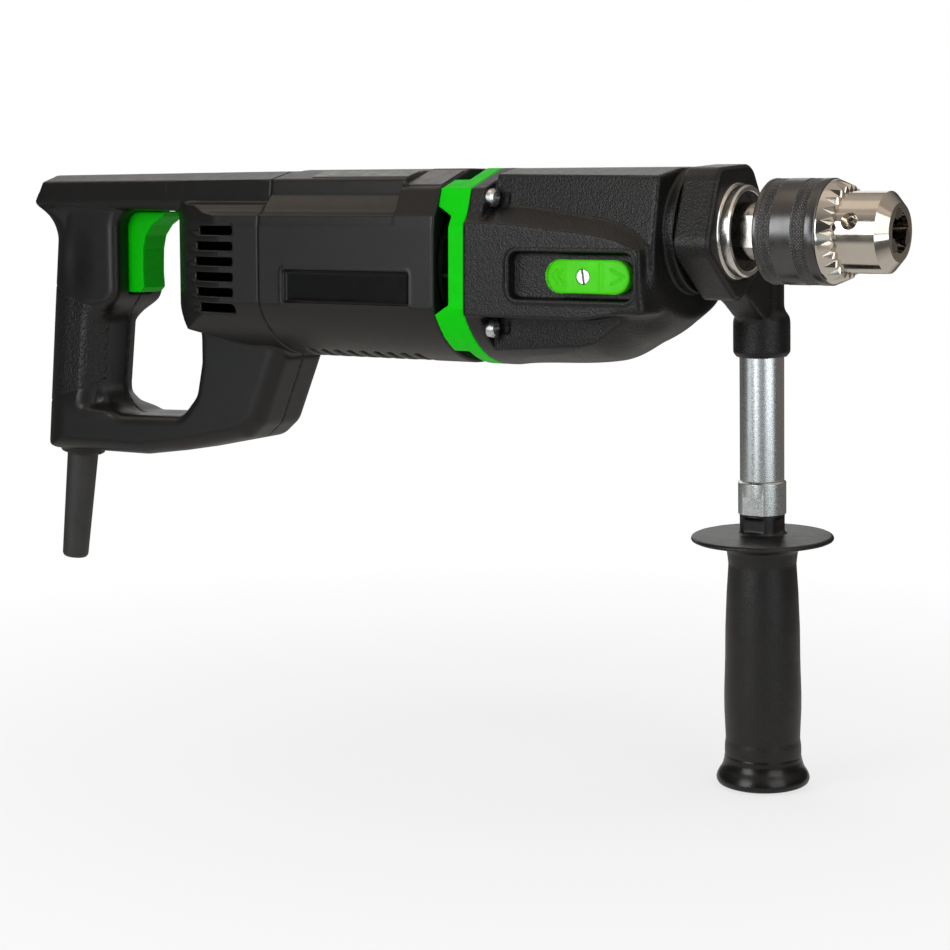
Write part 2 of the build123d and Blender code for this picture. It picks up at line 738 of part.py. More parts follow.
# Brush carrier at the rear of the motor, with the two brush holders, brushes and springs
brush_middle = commutator_back + commutator_length / 2
brush_tip = commutator_radius + seat_gap
brush_tail = brush_tip + brush_length
holder_end = brush_tail + brush_spring_length
with BuildPart() as brush_carrier:
    with BuildSketch(across(carrier_back, z=motor_z)) as plate:
        Circle(motor_bore_radius - seat_gap)
        Rectangle(2.2 * motor_bore_radius, 1.3 * motor_bore_radius, mode=Mode.INTERSECT)
    extrude(plate.sketch, amount=carrier_thickness)
    rod(carrier_back, carrier_back + rear_ball_width + 2 * seat_gap, rear_ball_radius, z=motor_z, mode=Mode.SUBTRACT)
    rod(carrier_back, carrier_front, armature_shaft_radius, z=motor_z, mode=Mode.SUBTRACT)
    for side in (-1, 1):
        block(carrier_front, brush_middle - brush_width / 2 - brush_holder_wall - seat_gap,
              min(side * brush_tail, side * holder_end), max(side * brush_tail, side * holder_end),
              motor_z - brush_height / 2, motor_z + brush_height / 2)
write(brush_carrier, "brush_carrier")

with BuildPart() as brush_holders:
    for side in (-1, 1):
        outer = brush_width + 2 * (brush_holder_wall + seat_gap)
        start = side * (brush_tip + 2)
        with BuildSketch(Plane(origin=(brush_middle, start, motor_z), x_dir=(1, 0, 0), z_dir=(0, side, 0))) as box:
            Rectangle(outer, brush_height + 2 * (brush_holder_wall + seat_gap))
            Rectangle(brush_width + 2 * seat_gap, brush_height + 2 * seat_gap, mode=Mode.SUBTRACT)
        extrude(box.sketch, amount=holder_end - brush_tip - 2)
        with BuildSketch(box.workplanes[0].offset(holder_end - brush_tip - 2)) as cap:
            Rectangle(outer, brush_height + 2 * (brush_holder_wall + seat_gap))
        extrude(cap.sketch, amount=brush_holder_wall)
write(brush_holders, "brush_holders")

with BuildPart() as carbon_brushes:
    for side in (-1, 1):
        block(brush_middle - brush_width / 2, brush_middle + brush_width / 2,
              min(side * brush_tip, side * brush_tail), max(side * brush_tip, side * brush_tail),
              motor_z - brush_height / 2, motor_z + brush_height / 2)
    rod(commutator_back - 5, commutator_back + commutator_length + 5, brush_tip, z=motor_z, mode=Mode.SUBTRACT)
write(carbon_brushes, "carbon_brushes")


def coil_spring(start, direction, length, radius, wire, turns):
    """Round-wire coil spring from start along direction."""
    base = Plane(origin=start, z_dir=direction)
    path = base.location * Helix((length - 2 * wire) / turns, length - 2 * wire, radius)
    path = path.moved(Location(Vector(*direction).normalized() * wire))
    with BuildSketch(Plane(origin=path @ 0, z_dir=path % 0)) as section:
        Circle(wire)
    sweep(section.sketch, path=path, is_frenet=True)


with BuildPart() as brush_springs:
    for side in (-1, 1):
        coil_spring((brush_middle, side * (brush_tail + seat_gap), motor_z), (0, side, 0),
                    brush_spring_length - 2 * seat_gap, brush_width / 2 - 2 * spring_wire, spring_wire / 2,
                    spring_turns)
write(brush_springs, "brush_springs")

# Bearing shield between the motor and the gears
with BuildPart() as bearing_shield:
    rod(shield_back, casting_back, motor_bore_radius - seat_gap, z=motor_z)
    rod(casting_back, boss_end, shield_boss_radius)
    rod(shield_back, shield_back + front_ball_width + 2 * seat_gap, front_ball_radius, z=motor_z, mode=Mode.SUBTRACT)
    rod(shield_back, casting_back, armature_shaft_radius + 2, z=motor_z, mode=Mode.SUBTRACT)
    rod(boss_end - rear_bush_length - seat_gap, boss_end, rear_bush_radius, mode=Mode.SUBTRACT)
    rod(shield_back + 1 - seat_gap, casting_back, countershaft_bush_radius, *counter, mode=Mode.SUBTRACT)
write(bearing_shield, "bearing_shield")

# Air ring between the motor and the gear housing, with its outlet slots
slot_top = case_screw_top - 4.0
slot_bottom = case_screw_bottom + 6.0
slot_half_width = case_screw_y - 7.0
with BuildPart() as air_ring:
    barrel(ring_back, casting_back, ring_shoulder)
    rod(ring_back, casting_back, motor_bore_radius, z=motor_z, mode=Mode.SUBTRACT)
    with BuildSketch(Plane.XZ) as window:
        with BuildLine():
            Polyline((ring_back, slot_top), (ring_back + ring_slot_width, slot_top - ring_slot_slant),
                     (ring_back + ring_slot_width, slot_bottom + ring_slot_slant), (ring_back, slot_bottom),
                     close=True)
        make_face()
    extrude(window.sketch, amount=2 * barrel_radius, both=True, mode=Mode.SUBTRACT)
    block(ring_back, ring_back + ring_slot_width, -slot_half_width, slot_half_width, -3 * barrel_radius,
          3 * barrel_radius, mode=Mode.SUBTRACT)
    for y, z in case_screw_places:
        rod(ring_back, casting_back, case_screw_radius + seat_gap, y, z, mode=Mode.SUBTRACT)
write(air_ring, "air_ring")

with BuildPart() as case_screws:
    for y, z in case_screw_places:
        head_front = case_screw_seat + case_screw_head_height
        turn([(case_screw_end, 0), (case_screw_end, case_screw_radius), (case_screw_seat, case_screw_radius),
              (case_screw_seat, case_screw_head), (head_front - 1.4, case_screw_head),
              (head_front - 0.4, case_screw_head - 1.2), (head_front, case_screw_head - 2.6), (head_front, 0)], y, z)
        for cut in (0, 90):
            with BuildSketch(across(head_front - 1.8, y, z)) as driver:
                Rectangle(4.6, 0.9, rotation=cut)
            extrude(driver.sketch, amount=2.0, mode=Mode.SUBTRACT)
write(case_screws, "case_screws")

# Gear housing: rear flange, tapered casting with a raised panel on each side, front boss and machined neck
panel_bottom = motor_z - 22.0
casting_waist = case_screw_y - case_screw_head - slide_gap
selector_slot = (selector_screw_x - fork_shank / 2 - selector_travel - slide_gap,
                 selector_screw_x + fork_shank / 2 + slide_gap)
recess_floor = barrel_half_width - recess_depth
fork_wall = recess_floor - 3.0
gear_clearance = 1.4
low_tip = spindle_module * (low_gear_teeth / 2 + 1)
wheel_tip = first_module * (wheel_teeth / 2 + 1)
pinion_tip = spindle_module * (high_pinion_teeth / 2 + 1)


def panel_section(y, top_edge, foot):
    """Outline of a raised panel at one distance from the middle plane, under a curved top edge."""
    with BuildSketch(Plane(origin=(0, y, 0), x_dir=(1, 0, 0), z_dir=(0, -1, 0))) as section:
        with BuildLine():
            Spline(*top_edge)
            Polyline(top_edge[-1], foot, (casting_back, foot[1]), top_edge[0])
        make_face()
    return section.sketch


def raised_panel(side, setback):
    """Panel with sloping edges on one side of the casting, set back from the casting's front."""
    front = casting_front - setback
    rise = casting_back + 24
    middle = casting_back + 58 - setback
    root = [(casting_back, 10.5), (rise, 12.0), (middle, 10.2), (front - 8, 5.0), (front - 1.5, -0.5)]
    face = [(casting_back, 3.5), (rise, 2.8), (middle, -0.6), (front - 13, -5.0), (front - 4.4, -9.0)]
    loft([panel_section(side * (barrel_half_width - panel_root_depth), root, (front - 0.5, panel_bottom)),
          panel_section(side * barrel_half_width, face, (front - 2.4, panel_bottom + 0.4))], ruled=True)


def cut_beside(rear_y, front_x, front_y, z, sweep_by):
    """Cut away what stands outside a slanting line in plan, swept from a height along a direction."""
    outside = 2 * barrel_radius * (1 if rear_y > 0 else -1)
    with BuildSketch(Plane.XY.offset(z)) as plan:
        with BuildLine():
            Polyline((case_screw_seat, rear_y), (front_x, front_y), (front_x, outside), (case_screw_seat, outside),
                     close=True)
        make_face()
    extrude(plan.sketch, amount=sweep_by.length, dir=sweep_by, mode=Mode.SUBTRACT)


with BuildPart() as gear_housing:
    barrel(casting_back, case_screw_seat, ring_shoulder)
    barrel(case_screw_seat, casting_front, casting_shoulder, half_width=casting_half_width)
    with BuildSketch(Plane.XZ) as nose_outline:
        with BuildLine():
            Polyline((casting_front, 41.8), (casting_front, 0), (casting_back, 0), (casting_back, 64.6))
            Spline((casting_back, 64.6), (casting_back + 35, 61.6), (casting_front - 26, 57.6),
                   (casting_front - 11, 51.3), (casting_front, 41.8))
        make_face()
    revolve(nose_outline.sketch, axis=Axis.X, mode=Mode.INTERSECT)
    for side in (-1, 1):
        down_side = Vector(0, side * casting_lean, flank_full - casting_edge)
        edge_waist = casting_waist - casting_lean * (casting_edge - case_screw_top) / (casting_edge - flank_full)
        edge_front = casting_half_width - casting_lean
        for sweep_by in (down_side, -down_side):
            cut_beside(side * edge_waist, casting_front, side * edge_front, casting_edge, sweep_by)
        cut_beside(side * casting_waist, casting_front - 5, side * (casting_half_width - 2), panel_bottom,
                   Vector(0, 0, -barrel_radius))
        raised_panel(side, left_panel_setback if side > 0 else 0.0)
    rod(casting_front - 2, boss_front, boss_radius)
    turn([(boss_front - 2, 0), (boss_front - 2, neck_radius), (collar_front, neck_radius), (collar_front, rim_radius),
          (neck_front + 0.8, rim_radius), (neck_front, rim_radius - 0.8), (neck_front, 0)])
    rod(front_bearing_back, neck_front, front_bearing_radius, mode=Mode.SUBTRACT)
    rod(cavity_front - 1, front_bearing_back, spindle_radius + 2 * hand_gap, mode=Mode.SUBTRACT)
    rod(casting_back, wheel_back + wheel_width + gear_clearance, wheel_tip + gear_clearance, *counter,
        mode=Mode.SUBTRACT)
    with BuildSketch(across(casting_back)) as cavity:
        Circle(low_tip + gear_clearance)
        with Locations(counter):
            Circle(pinion_tip + gear_clearance)
        with Locations((counter_y / 2, counter_z / 2)):
            Rectangle(spindle_centres, 2 * (pinion_tip + gear_clearance),
                      rotation=degrees(atan2(counter_z, counter_y)))
        with Locations((0, (motor_z + case_screw_bottom) / 2)):
            Rectangle(2 * slot_half_width - 2, abs(case_screw_bottom - motor_z))
        with Locations((-fork_wall / 2, selector_z)):
            Rectangle(fork_wall, fork_shank + 12)
    extrude(cavity.sketch, amount=cavity_front - casting_back, mode=Mode.SUBTRACT)
    rod(cavity_front, counter_front, countershaft_bush_radius, *counter, mode=Mode.SUBTRACT)
    with BuildSketch(Plane(origin=(0, -barrel_half_width, 0), x_dir=(1, 0, 0), z_dir=(0, 1, 0))) as recess:
        with Locations(((recess_back + recess_front) / 2, -selector_z)):
            RectangleRounded(recess_front - recess_back, recess_height, recess_corner)
    extrude(recess.sketch, amount=recess_depth, mode=Mode.SUBTRACT)
    block(*selector_slot, -barrel_half_width, -fork_wall + 1, selector_z - fork_shank / 2 - slide_gap,
          selector_z + fork_shank / 2 + slide_gap, mode=Mode.SUBTRACT)
    for y, z in case_screw_places:
        rod(casting_back, case_screw_seat, case_screw_radius + seat_gap, y, z, mode=Mode.SUBTRACT)
        outward = 1 if y > 0 else -1
        with BuildSketch(across(case_screw_seat, y, z)) as pocket:
            Circle(pocket_radius)
            with Locations((outward * pocket_radius * 1.5, 0)):
                Rectangle(3 * pocket_radius, 2 * pocket_radius)
        extrude(pocket.sketch, amount=pocket_length, mode=Mode.SUBTRACT)
write(gear_housing, "gear_housing")

# Speed selector: green knob, its slotted screw, and the fork inside that moves the dog sleeve
knob_face = recess_floor + selector_rise
with BuildPart() as selector_knob:
    with BuildSketch(Plane(origin=(0, -recess_floor - slide_gap, 0), x_dir=(1, 0, 0), z_dir=(0, -1, 0))) as stadium:
        with Locations((selector_centre, selector_z)):
            SlotOverall(selector_length, selector_height)
    extrude(stadium.sketch, amount=selector_rise - slide_gap)
    fillet(selector_knob.edges().group_by(Axis.Y)[0], radius=1.5)
    with BuildSketch(Plane(origin=(selector_screw_x, 0, selector_z), x_dir=(1, 0, 0),
                           z_dir=(0, -1, 0))) as screw_hole:
        Circle(selector_screw_radius + slide_gap)
    extrude(screw_hole.sketch, amount=2 * barrel_half_width, mode=Mode.SUBTRACT)
write(selector_knob, "selector_knob")

shank_end = recess_floor + slide_gap
with BuildPart() as selector_screw:
    with BuildSketch(Plane(origin=(selector_screw_x, -shank_end, selector_z), x_dir=(1, 0, 0),
                           z_dir=(0, -1, 0))) as screw_head:
        Circle(selector_screw_radius)
    extrude(screw_head.sketch, amount=knob_face - 0.6 - shank_end)
    with BuildSketch(Plane(origin=(selector_screw_x, -(knob_face - 1.6), selector_z), x_dir=(1, 0, 0),
                           z_dir=(0, -1, 0))) as screw_slot:
        Rectangle(2 * selector_screw_radius + 1, 1.1, rotation=100)
    extrude(screw_slot.sketch, amount=2.0, mode=Mode.SUBTRACT)
write(selector_screw, "selector_screw")

fork_inner = dog_sleeve_radius - dog_groove_depth + slide_gap
fork_outer = dog_sleeve_radius + 3.0
fork_root = fork_wall - slide_gap - 4.0
with BuildPart() as shift_fork:
    with BuildSketch(across(fork_middle - fork_thickness / 2)) as yoke_plate:
        Circle(fork_outer)
        with Locations((fork_outer, 0)):
            Rectangle(2 * fork_outer, 3 * fork_outer, mode=Mode.SUBTRACT)
        with Locations((-(fork_root + fork_inner / 2) / 2, selector_z + 2)):
            Rectangle(fork_root - fork_inner / 2, fork_shank + 4)
        Circle(fork_inner, mode=Mode.SUBTRACT)
    extrude(yoke_plate.sketch, amount=fork_thickness)
    block(fork_middle - fork_thickness / 2, selector_screw_x + fork_shank / 2, -fork_root - 4.0, -fork_root,
          selector_z - fork_shank / 2, selector_z + fork_shank / 2)
    block(selector_screw_x - fork_shank / 2, selector_screw_x + fork_shank / 2, -shank_end + seat_gap,
          -fork_root - 3.0, selector_z - fork_shank / 2, selector_z + fork_shank / 2)
write(shift_fork, "shift_fork")

# Motor housing: barrel with a spine on top, name recesses, cooling louvres and the bore for the stator
spine_front = ring_back - 22.8
name_recess_centre = (ring_back - name_recess_lead - name_recess_length / 2 - 3, motor_z - name_recess_drop)
with BuildPart() as motor_housing:
    barrel(motor_back, spine_front, spine_shoulder)
    barrel(spine_front, ring_back, block_shoulder)
    rod(motor_back, ring_back, motor_bore_radius, z=motor_z, mode=Mode.SUBTRACT)
    for side in (-1, 1):
        with BuildSketch(Plane(origin=(0, side * (barrel_half_width - name_recess_depth), 0), x_dir=(1, 0, 0),
                               z_dir=(0, -1, 0))) as name_recess:
            with Locations(name_recess_centre):
                Rectangle(name_recess_length, name_recess_height)
        extrude(name_recess.sketch, amount=-side * 5.0, mode=Mode.SUBTRACT)
    for y, z in case_screw_places:
        rod(case_screw_end - 1, ring_back, case_screw_radius + press_gap, y, z, mode=Mode.SUBTRACT)
    for step in range(louvre_count):
        louvre_back = motor_back + louvre_lead + step * louvre_pitch
        block(louvre_back, louvre_back + louvre_width, -louvre_half_reach, louvre_half_reach, barrel_bottom - 1,
              barrel_bottom + 14, Mode.SUBTRACT)
write(motor_housing, "motor_housing")


# Bare plates on the near slope of the roof: a long one on the spine and a square one in front of it
def roof_plate(x, shoulder, length, width):
    """Thin plate centred on the slope between the first two points of a shoulder."""
    (y_in, z_in), (y_out, z_out) = shoulder[:2]
    slope = atan2(z_in - z_out, y_out - y_in)
    lift = Vector(0, -sin(slope), cos(slope))
    middle = Vector(x, -(y_in + y_out) / 2, (z_in + z_out) / 2)
    with BuildSketch(Plane(origin=middle + lift * press_gap, x_dir=(1, 0, 0), z_dir=lift)) as plate_face:
        RectangleRounded(length, width, 1.0)
    extrude(plate_face.sketch, amount=plate_thickness)


with BuildPart() as rating_plate:
    roof_plate(spine_front - 1 - strip_length / 2, spine_shoulder, strip_length, strip_width)
write(rating_plate, "rating_plate")

with BuildPart() as front_plate:
    roof_plate((spine_front + ring_back) / 2, block_shoulder, plate_length, plate_width)
write(front_plate, "front_plate")

# D-handle, side view, as distances behind the motor housing: outer outline and hand opening
grip_front = motor_back - 113.5
handle_bottom = barrel_bottom - 56.0
opening_top = barrel_top - 20.5
opening_bottom = handle_bottom + 21.0
grip_rear = motor_back - 173.5


def behind(points):
    """Place points given as distances behind the motor housing."""
    return [(motor_back - x, z) for x, z in points]


handle_outline = behind([(159.5, barrel_top - 3), (164.5, -4.0), (172.0, -85.0), (173.5, handle_bottom + 6.5),
                         (165.5, handle_bottom), (98.5, handle_bottom + 0.5), (71.5, handle_bottom + 4.2),
                         (28.5, handle_bottom + 12.9), (19.5, handle_bottom + 20.5), (5.1, barrel_bottom - 1.0),
                         (0, barrel_bottom + 13.5), (0, barrel_top - 3)])
opening_outline = behind([(113.5, opening_top), (113.5, -36.0), (120.5, -45.0), (125.0, opening_bottom + 11.5),
                          (117.0, opening_bottom), (71.0, opening_bottom + 1.5), (61.0, opening_bottom + 12.5),
                          (57.5, -69.0), (57.5, -54.0), (65.5, -40.0), (67.5, opening_top)])
bar_front = spine_shoulder[:3] + [(bar_half_width - 4, opening_top)]
bar_rear = [(10.0, barrel_top - 1.9), (bar_rear_half_width - 1.2, barrel_top - 5.5),
            (bar_rear_half_width, barrel_top - 16), (bar_rear_half_width - 3.5, opening_top + 1.5)]
bar_end = motor_back - 170.5
bar_tip = motor_back - 169.5
bar_top_end = motor_back - 162.5
flare_front = grip_front - 12.0
flare_sections = [(-7.0, motor_back - 164.7, 19.0, 18.6), (2.0, motor_back - 166.1, 19.4, 16.0),
                  (opening_top + 1.5, motor_back - 169.1, bar_rear_half_width - 0.3, 6.0)]
cap_back = motor_back - 70.5
cap_shoulder = motor_back - 25.5
cap_waist = motor_back - 51.5
cap_end_half_width = 18.0
cap_side = [(motor_back + 10, 2 * barrel_radius), (cap_back, 2 * barrel_radius), (cap_back, barrel_bottom + 23.5),
            (cap_back + 15, barrel_bottom + 12.5), (cap_back + 40, barrel_bottom + 6.5), (motor_back, barrel_bottom),
            (motor_back + 10, barrel_bottom)]
handle_corner = handle_fillet + 2.0
bar_middle = (barrel_top + opening_top) / 2
low_bar_middle = (handle_bottom + opening_bottom) / 2
handle_screw_places = behind([(151.5, bar_middle - 1), (77.5, bar_middle - 1), (11.5, bar_middle - 2),
                              (129.5, low_bar_middle + 0.5), (77.5, low_bar_middle + 2.5),
                              (17.5, barrel_bottom - 10.5), (149.5, barrel_bottom + 1.5)])
handle_screw_seat = handle_half_width - handle_screw_depth
trigger_z = -14.0
trigger_back = grip_front - side_wall - 3.5
trigger_top = opening_top - 1.6
trigger_bottom = -34.6
switch_front = trigger_back - trigger_travel - shell_wall
switch_back = switch_front - switch_length
switch_top = trigger_z + switch_height / 2
switch_bottom = trigger_z - switch_height / 2
module_front = motor_back - 27.5
module_back = module_front - module_length
module_top = barrel_bottom - 0.5
module_bottom = module_top - module_height
cable_clamp_z = handle_bottom + 23.5
cable_clamp_posts = (motor_back - 162.5, motor_back - 148.5)
clamp_plate_y = 4.3
clamp_plate_thickness = 3.0
cable_sleeve_start = Vector(motor_back - 156.9, 0, handle_bottom + 1)
cable_sleeve_axis = Vector(-sin(radians(sleeve_lean)), 0, -cos(radians(sleeve_lean)))


def bar_section(x, outline, trim):
    """Top bar's outline at x, drawn in towards its middle by a wall."""
    top, bottom = outline[0][1], outline[-1][1]
    middle, half = (top + bottom) / 2, (top - bottom) / 2
    widest = max(y for y, z in outline)
    points = [(y * (1 - trim / widest), middle + (z - middle) * (1 - trim / half)) for y, z in outline]
    with BuildSketch(across(x)) as section:
        with BuildLine():
            Polyline(*mirrored(points), close=True)
        make_face()
    return section.sketch


def handle_bar(trim=0.0):
    """Tapered top bar with its slanted rear end."""
    loft([bar_section(motor_back, bar_front, trim), bar_section(bar_end, bar_rear, trim)], ruled=True)
    with BuildSketch(Plane.XZ) as rear_end:
        with BuildLine():
            Polyline((bar_top_end + trim, barrel_radius), (bar_top_end + trim, barrel_top - 2.2),
                     (bar_tip + trim, barrel_top - 16.5), (bar_tip + trim, -barrel_radius),
                     (bar_tip - barrel_radius, -barrel_radius), (bar_tip - barrel_radius, barrel_radius), close=True)
        make_face()
    extrude(rear_end.sketch, amount=2 * bar_half_width, both=True, mode=Mode.SUBTRACT)


def handle_frame(trim=0.0):
    """D-shaped frame seen from the side, drawn in by a wall."""
    with BuildSketch(Plane.XZ) as frame:
        with BuildLine():
            Polyline(*handle_outline, close=True)
        make_face()
        with BuildLine():
            Polyline(*opening_outline, close=True)
        make_face(mode=Mode.SUBTRACT)
        fillet(frame.vertices(), radius=handle_corner)
        if trim:
            offset(amount=-trim)
    extrude(frame.sketch, amount=handle_half_width - (side_wall if trim else 0), both=True)


def round_grip(trim=0.0):
    """Round the rear of the frame in plan, along the lean of the grip."""
    middle = grip_rear + grip_round + 9.0
    half = handle_half_width - (side_wall if trim else 0)
    with BuildSketch(Plane.XY) as plan:
        with Locations((middle, 0)):
            Ellipse(grip_round - trim, half)
        with Locations(((middle + motor_back) / 2, 0)):
            Rectangle(motor_back - middle, 2 * half)
    lean = Vector(-sin(radians(grip_lean)), 0, -cos(radians(grip_lean)))
    extrude(plan.sketch, amount=4 * barrel_radius, dir=lean, both=True, mode=Mode.INTERSECT)


def handle_cap(trim=0.0):
    """Rear end of the barrel, rounded in plan towards the handle."""
    barrel(cap_back, motor_back, spine_shoulder, trim)
    with BuildSketch(Plane.XY) as plan:
        with BuildLine():
            Polyline((cap_shoulder, barrel_half_width), (motor_back + 10, barrel_half_width),
                     (motor_back + 10, -barrel_half_width), (cap_shoulder, -barrel_half_width))
            ThreePointArc((cap_shoulder, -barrel_half_width), (cap_waist, 9 - barrel_half_width),
                          (cap_back, -cap_end_half_width))
            Line((cap_back, -cap_end_half_width), (cap_back, cap_end_half_width))
            ThreePointArc((cap_back, cap_end_half_width), (cap_waist, barrel_half_width - 9),
                          (cap_shoulder, barrel_half_width))
        make_face()
        if trim:
            offset(amount=-trim)
    extrude(plan.sketch, amount=3 * barrel_radius, both=True, mode=Mode.INTERSECT)
    with BuildSketch(Plane.XZ) as side:
        with BuildLine():
            Polyline(*cap_side, close=True)
        make_face()
        if trim:
            offset(amount=-trim)
    extrude(side.sketch, amount=2 * barrel_radius, both=True, mode=Mode.INTERSECT)


def along_y(x, z, radius, y_from, y_to, mode=Mode.ADD):
    """Round bar or hole parallel to Y."""
    with BuildSketch(Plane(origin=(x, y_from, z), x_dir=(1, 0, 0), z_dir=(0, 1, 0))) as disc:
        Circle(radius)
    extrude(disc.sketch, amount=y_to - y_from, mode=mode)


def sleeve_turn(outline, mode=Mode.ADD):
    """Turn an outline, measured down the cable sleeve's own axis, about that axis."""
    with BuildSketch(Plane(origin=cable_sleeve_start, x_dir=cable_sleeve_axis, z_dir=(0, 1, 0))) as half:
        with BuildLine():
            Polyline(*outline, close=True)
        make_face()
    revolve(half.sketch, axis=Axis(cable_sleeve_start, cable_sleeve_axis), mode=mode)


# Solid form of the handle, and the hollow inside it that leaves the wall, bosses and ribs
with BuildPart() as frame_form:
    handle_frame()
    sides = frame_form.faces().sort_by(Axis.Y)
    fillet(sides[0].outer_wire().edges() + sides[-1].outer_wire().edges(), radius=handle_fillet)
    sides = frame_form.faces().sort_by(Axis.Y)
    fillet(sides[0].inner_wires()[0].edges() + sides[-1].inner_wires()[0].edges(), radius=opening_fillet)
    round_grip()

with BuildPart() as bar_form:
    handle_bar()

with BuildPart() as flare_form:
    for z, rear, half_width, corner in flare_sections:
        with BuildSketch(Plane.XY.offset(z)):
            with Locations(((rear + flare_front) / 2, 0)):
                RectangleRounded(flare_front - rear, 2 * half_width, corner)
    loft()

with BuildPart() as cap_form:
    handle_cap()

with BuildPart() as frame_hollow:
    handle_frame(shell_wall)
    round_grip(shell_wall)

with BuildPart() as bar_hollow:
    handle_bar(shell_wall)

with BuildPart() as cap_hollow:
    handle_cap(shell_wall)

with BuildPart() as handle_hollow:
    add(frame_hollow.part)
    add(bar_hollow.part)
    add(cap_hollow.part)
    for x, z in handle_screw_places:
        along_y(x, z, handle_boss_radius, -2 * barrel_radius, 2 * barrel_radius, Mode.SUBTRACT)
    for x in cable_clamp_posts:
        along_y(x, cable_clamp_z, clamp_post_radius, -2 * barrel_radius, 0, Mode.SUBTRACT)
    block(cap_back, motor_back - vent_front + 6, -baffle_thickness, 0, barrel_bottom + 6, opening_top, Mode.SUBTRACT)
    for side in (-1, 1):
        for rib in (switch_back + 3, switch_front - 5):
            middle = side * (switch_width / 2 + seat_gap + shell_wall)
            block(rib, rib + 2, middle - shell_wall, middle + shell_wall, switch_bottom, switch_top, Mode.SUBTRACT)
        middle = side * (module_width / 2 + seat_gap + shell_wall)
        block(module_back + 6, module_back + 8, middle - shell_wall, middle + shell_wall, module_bottom, module_top,
              Mode.SUBTRACT)

with BuildPart() as handle_body:
    add(frame_form.part)
    add(bar_form.part)
    add(flare_form.part)
    add(cap_form.part)
    sleeve_turn([(-2, 0), (-2, socket_radius), (3.0, socket_radius), (4.0, socket_radius - 1), (4.0, 0)])
    add(handle_hollow.part, mode=Mode.SUBTRACT)
    sleeve_turn([(-6, 0), (-6, cable_sleeve_top_radius + seat_gap),
                 (cable_sleeve_seat, cable_sleeve_top_radius + seat_gap), (cable_sleeve_seat, 0)],
                Mode.SUBTRACT)
    block(trigger_back, grip_front + handle_fillet, -trigger_half_width - slide_gap, trigger_half_width + slide_gap,
          trigger_bottom - hand_gap, trigger_top + hand_gap, Mode.SUBTRACT)
    for step in range(vent_count):
        vent_z = vent_top - step * vent_pitch
        vent_rear = vent_back - vent_bow * (2 * step / (vent_count - 1) - 1)**2
        for side in (-1, 1):
            vent_middle = side * (barrel_half_width - 5)
            block(motor_back - vent_rear, motor_back - vent_front, vent_middle - 14, vent_middle + 14,
                  vent_z - vent_height, vent_z, Mode.SUBTRACT)

with BuildPart() as handle_shell_right:
    add(handle_body.part)
    block(2 * motor_back, motor_back, -2 * barrel_radius, 0, 2 * handle_bottom, 2 * barrel_radius, Mode.INTERSECT)
    for x in cable_clamp_posts:
        along_y(x, cable_clamp_z, clamp_post_radius, -1, clamp_plate_y)
        along_y(x, cable_clamp_z, clamp_screw_radius + press_gap, -8.0, clamp_plate_y, Mode.SUBTRACT)
    for x, z in handle_screw_places:
        along_y(x, z, handle_screw_radius + press_gap, handle_screw_seat - handle_screw_length - 0.5, 0,
                Mode.SUBTRACT)
write(handle_shell_right, "handle_shell_right")

with BuildPart() as handle_shell_left:
    add(handle_body.part)
    block(2 * motor_back, motor_back, 0, 2 * barrel_radius, 2 * handle_bottom, 2 * barrel_radius, Mode.INTERSECT)
    for x, z in handle_screw_places:
        along_y(x, z, handle_screw_radius + seat_gap, 0, handle_screw_seat, Mode.SUBTRACT)
        along_y(x, z, handle_screw_head + slide_gap, handle_screw_seat, 2 * barrel_radius, Mode.SUBTRACT)
write(handle_shell_left, "handle_shell_left")

with BuildPart() as handle_screws:
    for x, z in handle_screw_places:
        along_y(x, z, handle_screw_radius, handle_screw_seat - handle_screw_length, handle_screw_seat)
        along_y(x, z, handle_screw_head, handle_screw_seat, handle_screw_seat + handle_screw_head_height)
        for cut in (0, 90):
            with BuildSketch(Plane(origin=(x, handle_screw_seat + 1.2, z), x_dir=(1, 0, 0),
                                   z_dir=(0, 1, 0))) as driver:
                Rectangle(4.2, 0.8, rotation=cut)
            extrude(driver.sketch, amount=2.0, mode=Mode.SUBTRACT)
write(handle_screws, "handle_screws")

# Trigger with its inner flange and the plunger that works the switch
with BuildPart() as trigger:
    with BuildSketch(Plane.XZ) as finger:
        with BuildLine():
            Polyline((trigger_back + 0.5, trigger_top), (grip_front + 25.5, trigger_top),
                     (grip_front + 23.5, trigger_top - 2.4), (grip_front + 16.0, trigger_top - 5.9),
                     (grip_front + 11.5, trigger_top - 11.4), (grip_front + 9.8, trigger_top - 18.4),
                     (grip_front + 9.4, trigger_bottom + 10.6), (grip_front + 10.0, trigger_bottom + 2.6),
                     (grip_front + 7.0, trigger_bottom), (trigger_back + 0.5, trigger_bottom), close=True)
        make_face()
    extrude(finger.sketch, amount=trigger_half_width, both=True)
    fillet(trigger.faces().sort_by(Axis.Y)[0].edges() + trigger.faces().sort_by(Axis.Y)[-1].edges(), radius=0.9)
    block(trigger_back, grip_front - shell_wall - slide_gap, -trigger_half_width - 2, trigger_half_width + 2,
          trigger_bottom + 4, trigger_top)
    rod(switch_front - 6, trigger_back, plunger_radius, z=trigger_z)
write(trigger, "trigger")

with BuildPart() as switch_body:
    block(switch_back, switch_front, -switch_width / 2, switch_width / 2, switch_bottom, switch_top)
    rod(switch_front - 7 - trigger_travel, switch_front, plunger_radius + slide_gap, z=trigger_z, mode=Mode.SUBTRACT)
    block(switch_back, switch_back + 6, -switch_width / 2 + 3, switch_width / 2 - 3, switch_bottom - 4, switch_bottom)
write(switch_body, "switch_body")

with BuildPart() as trigger_spring:
    coil_spring((switch_front + seat_gap, 0, trigger_z), (1, 0, 0), trigger_back - switch_front - 2 * seat_gap,
                spring_radius, spring_wire, spring_turns)
write(trigger_spring, "trigger_spring")

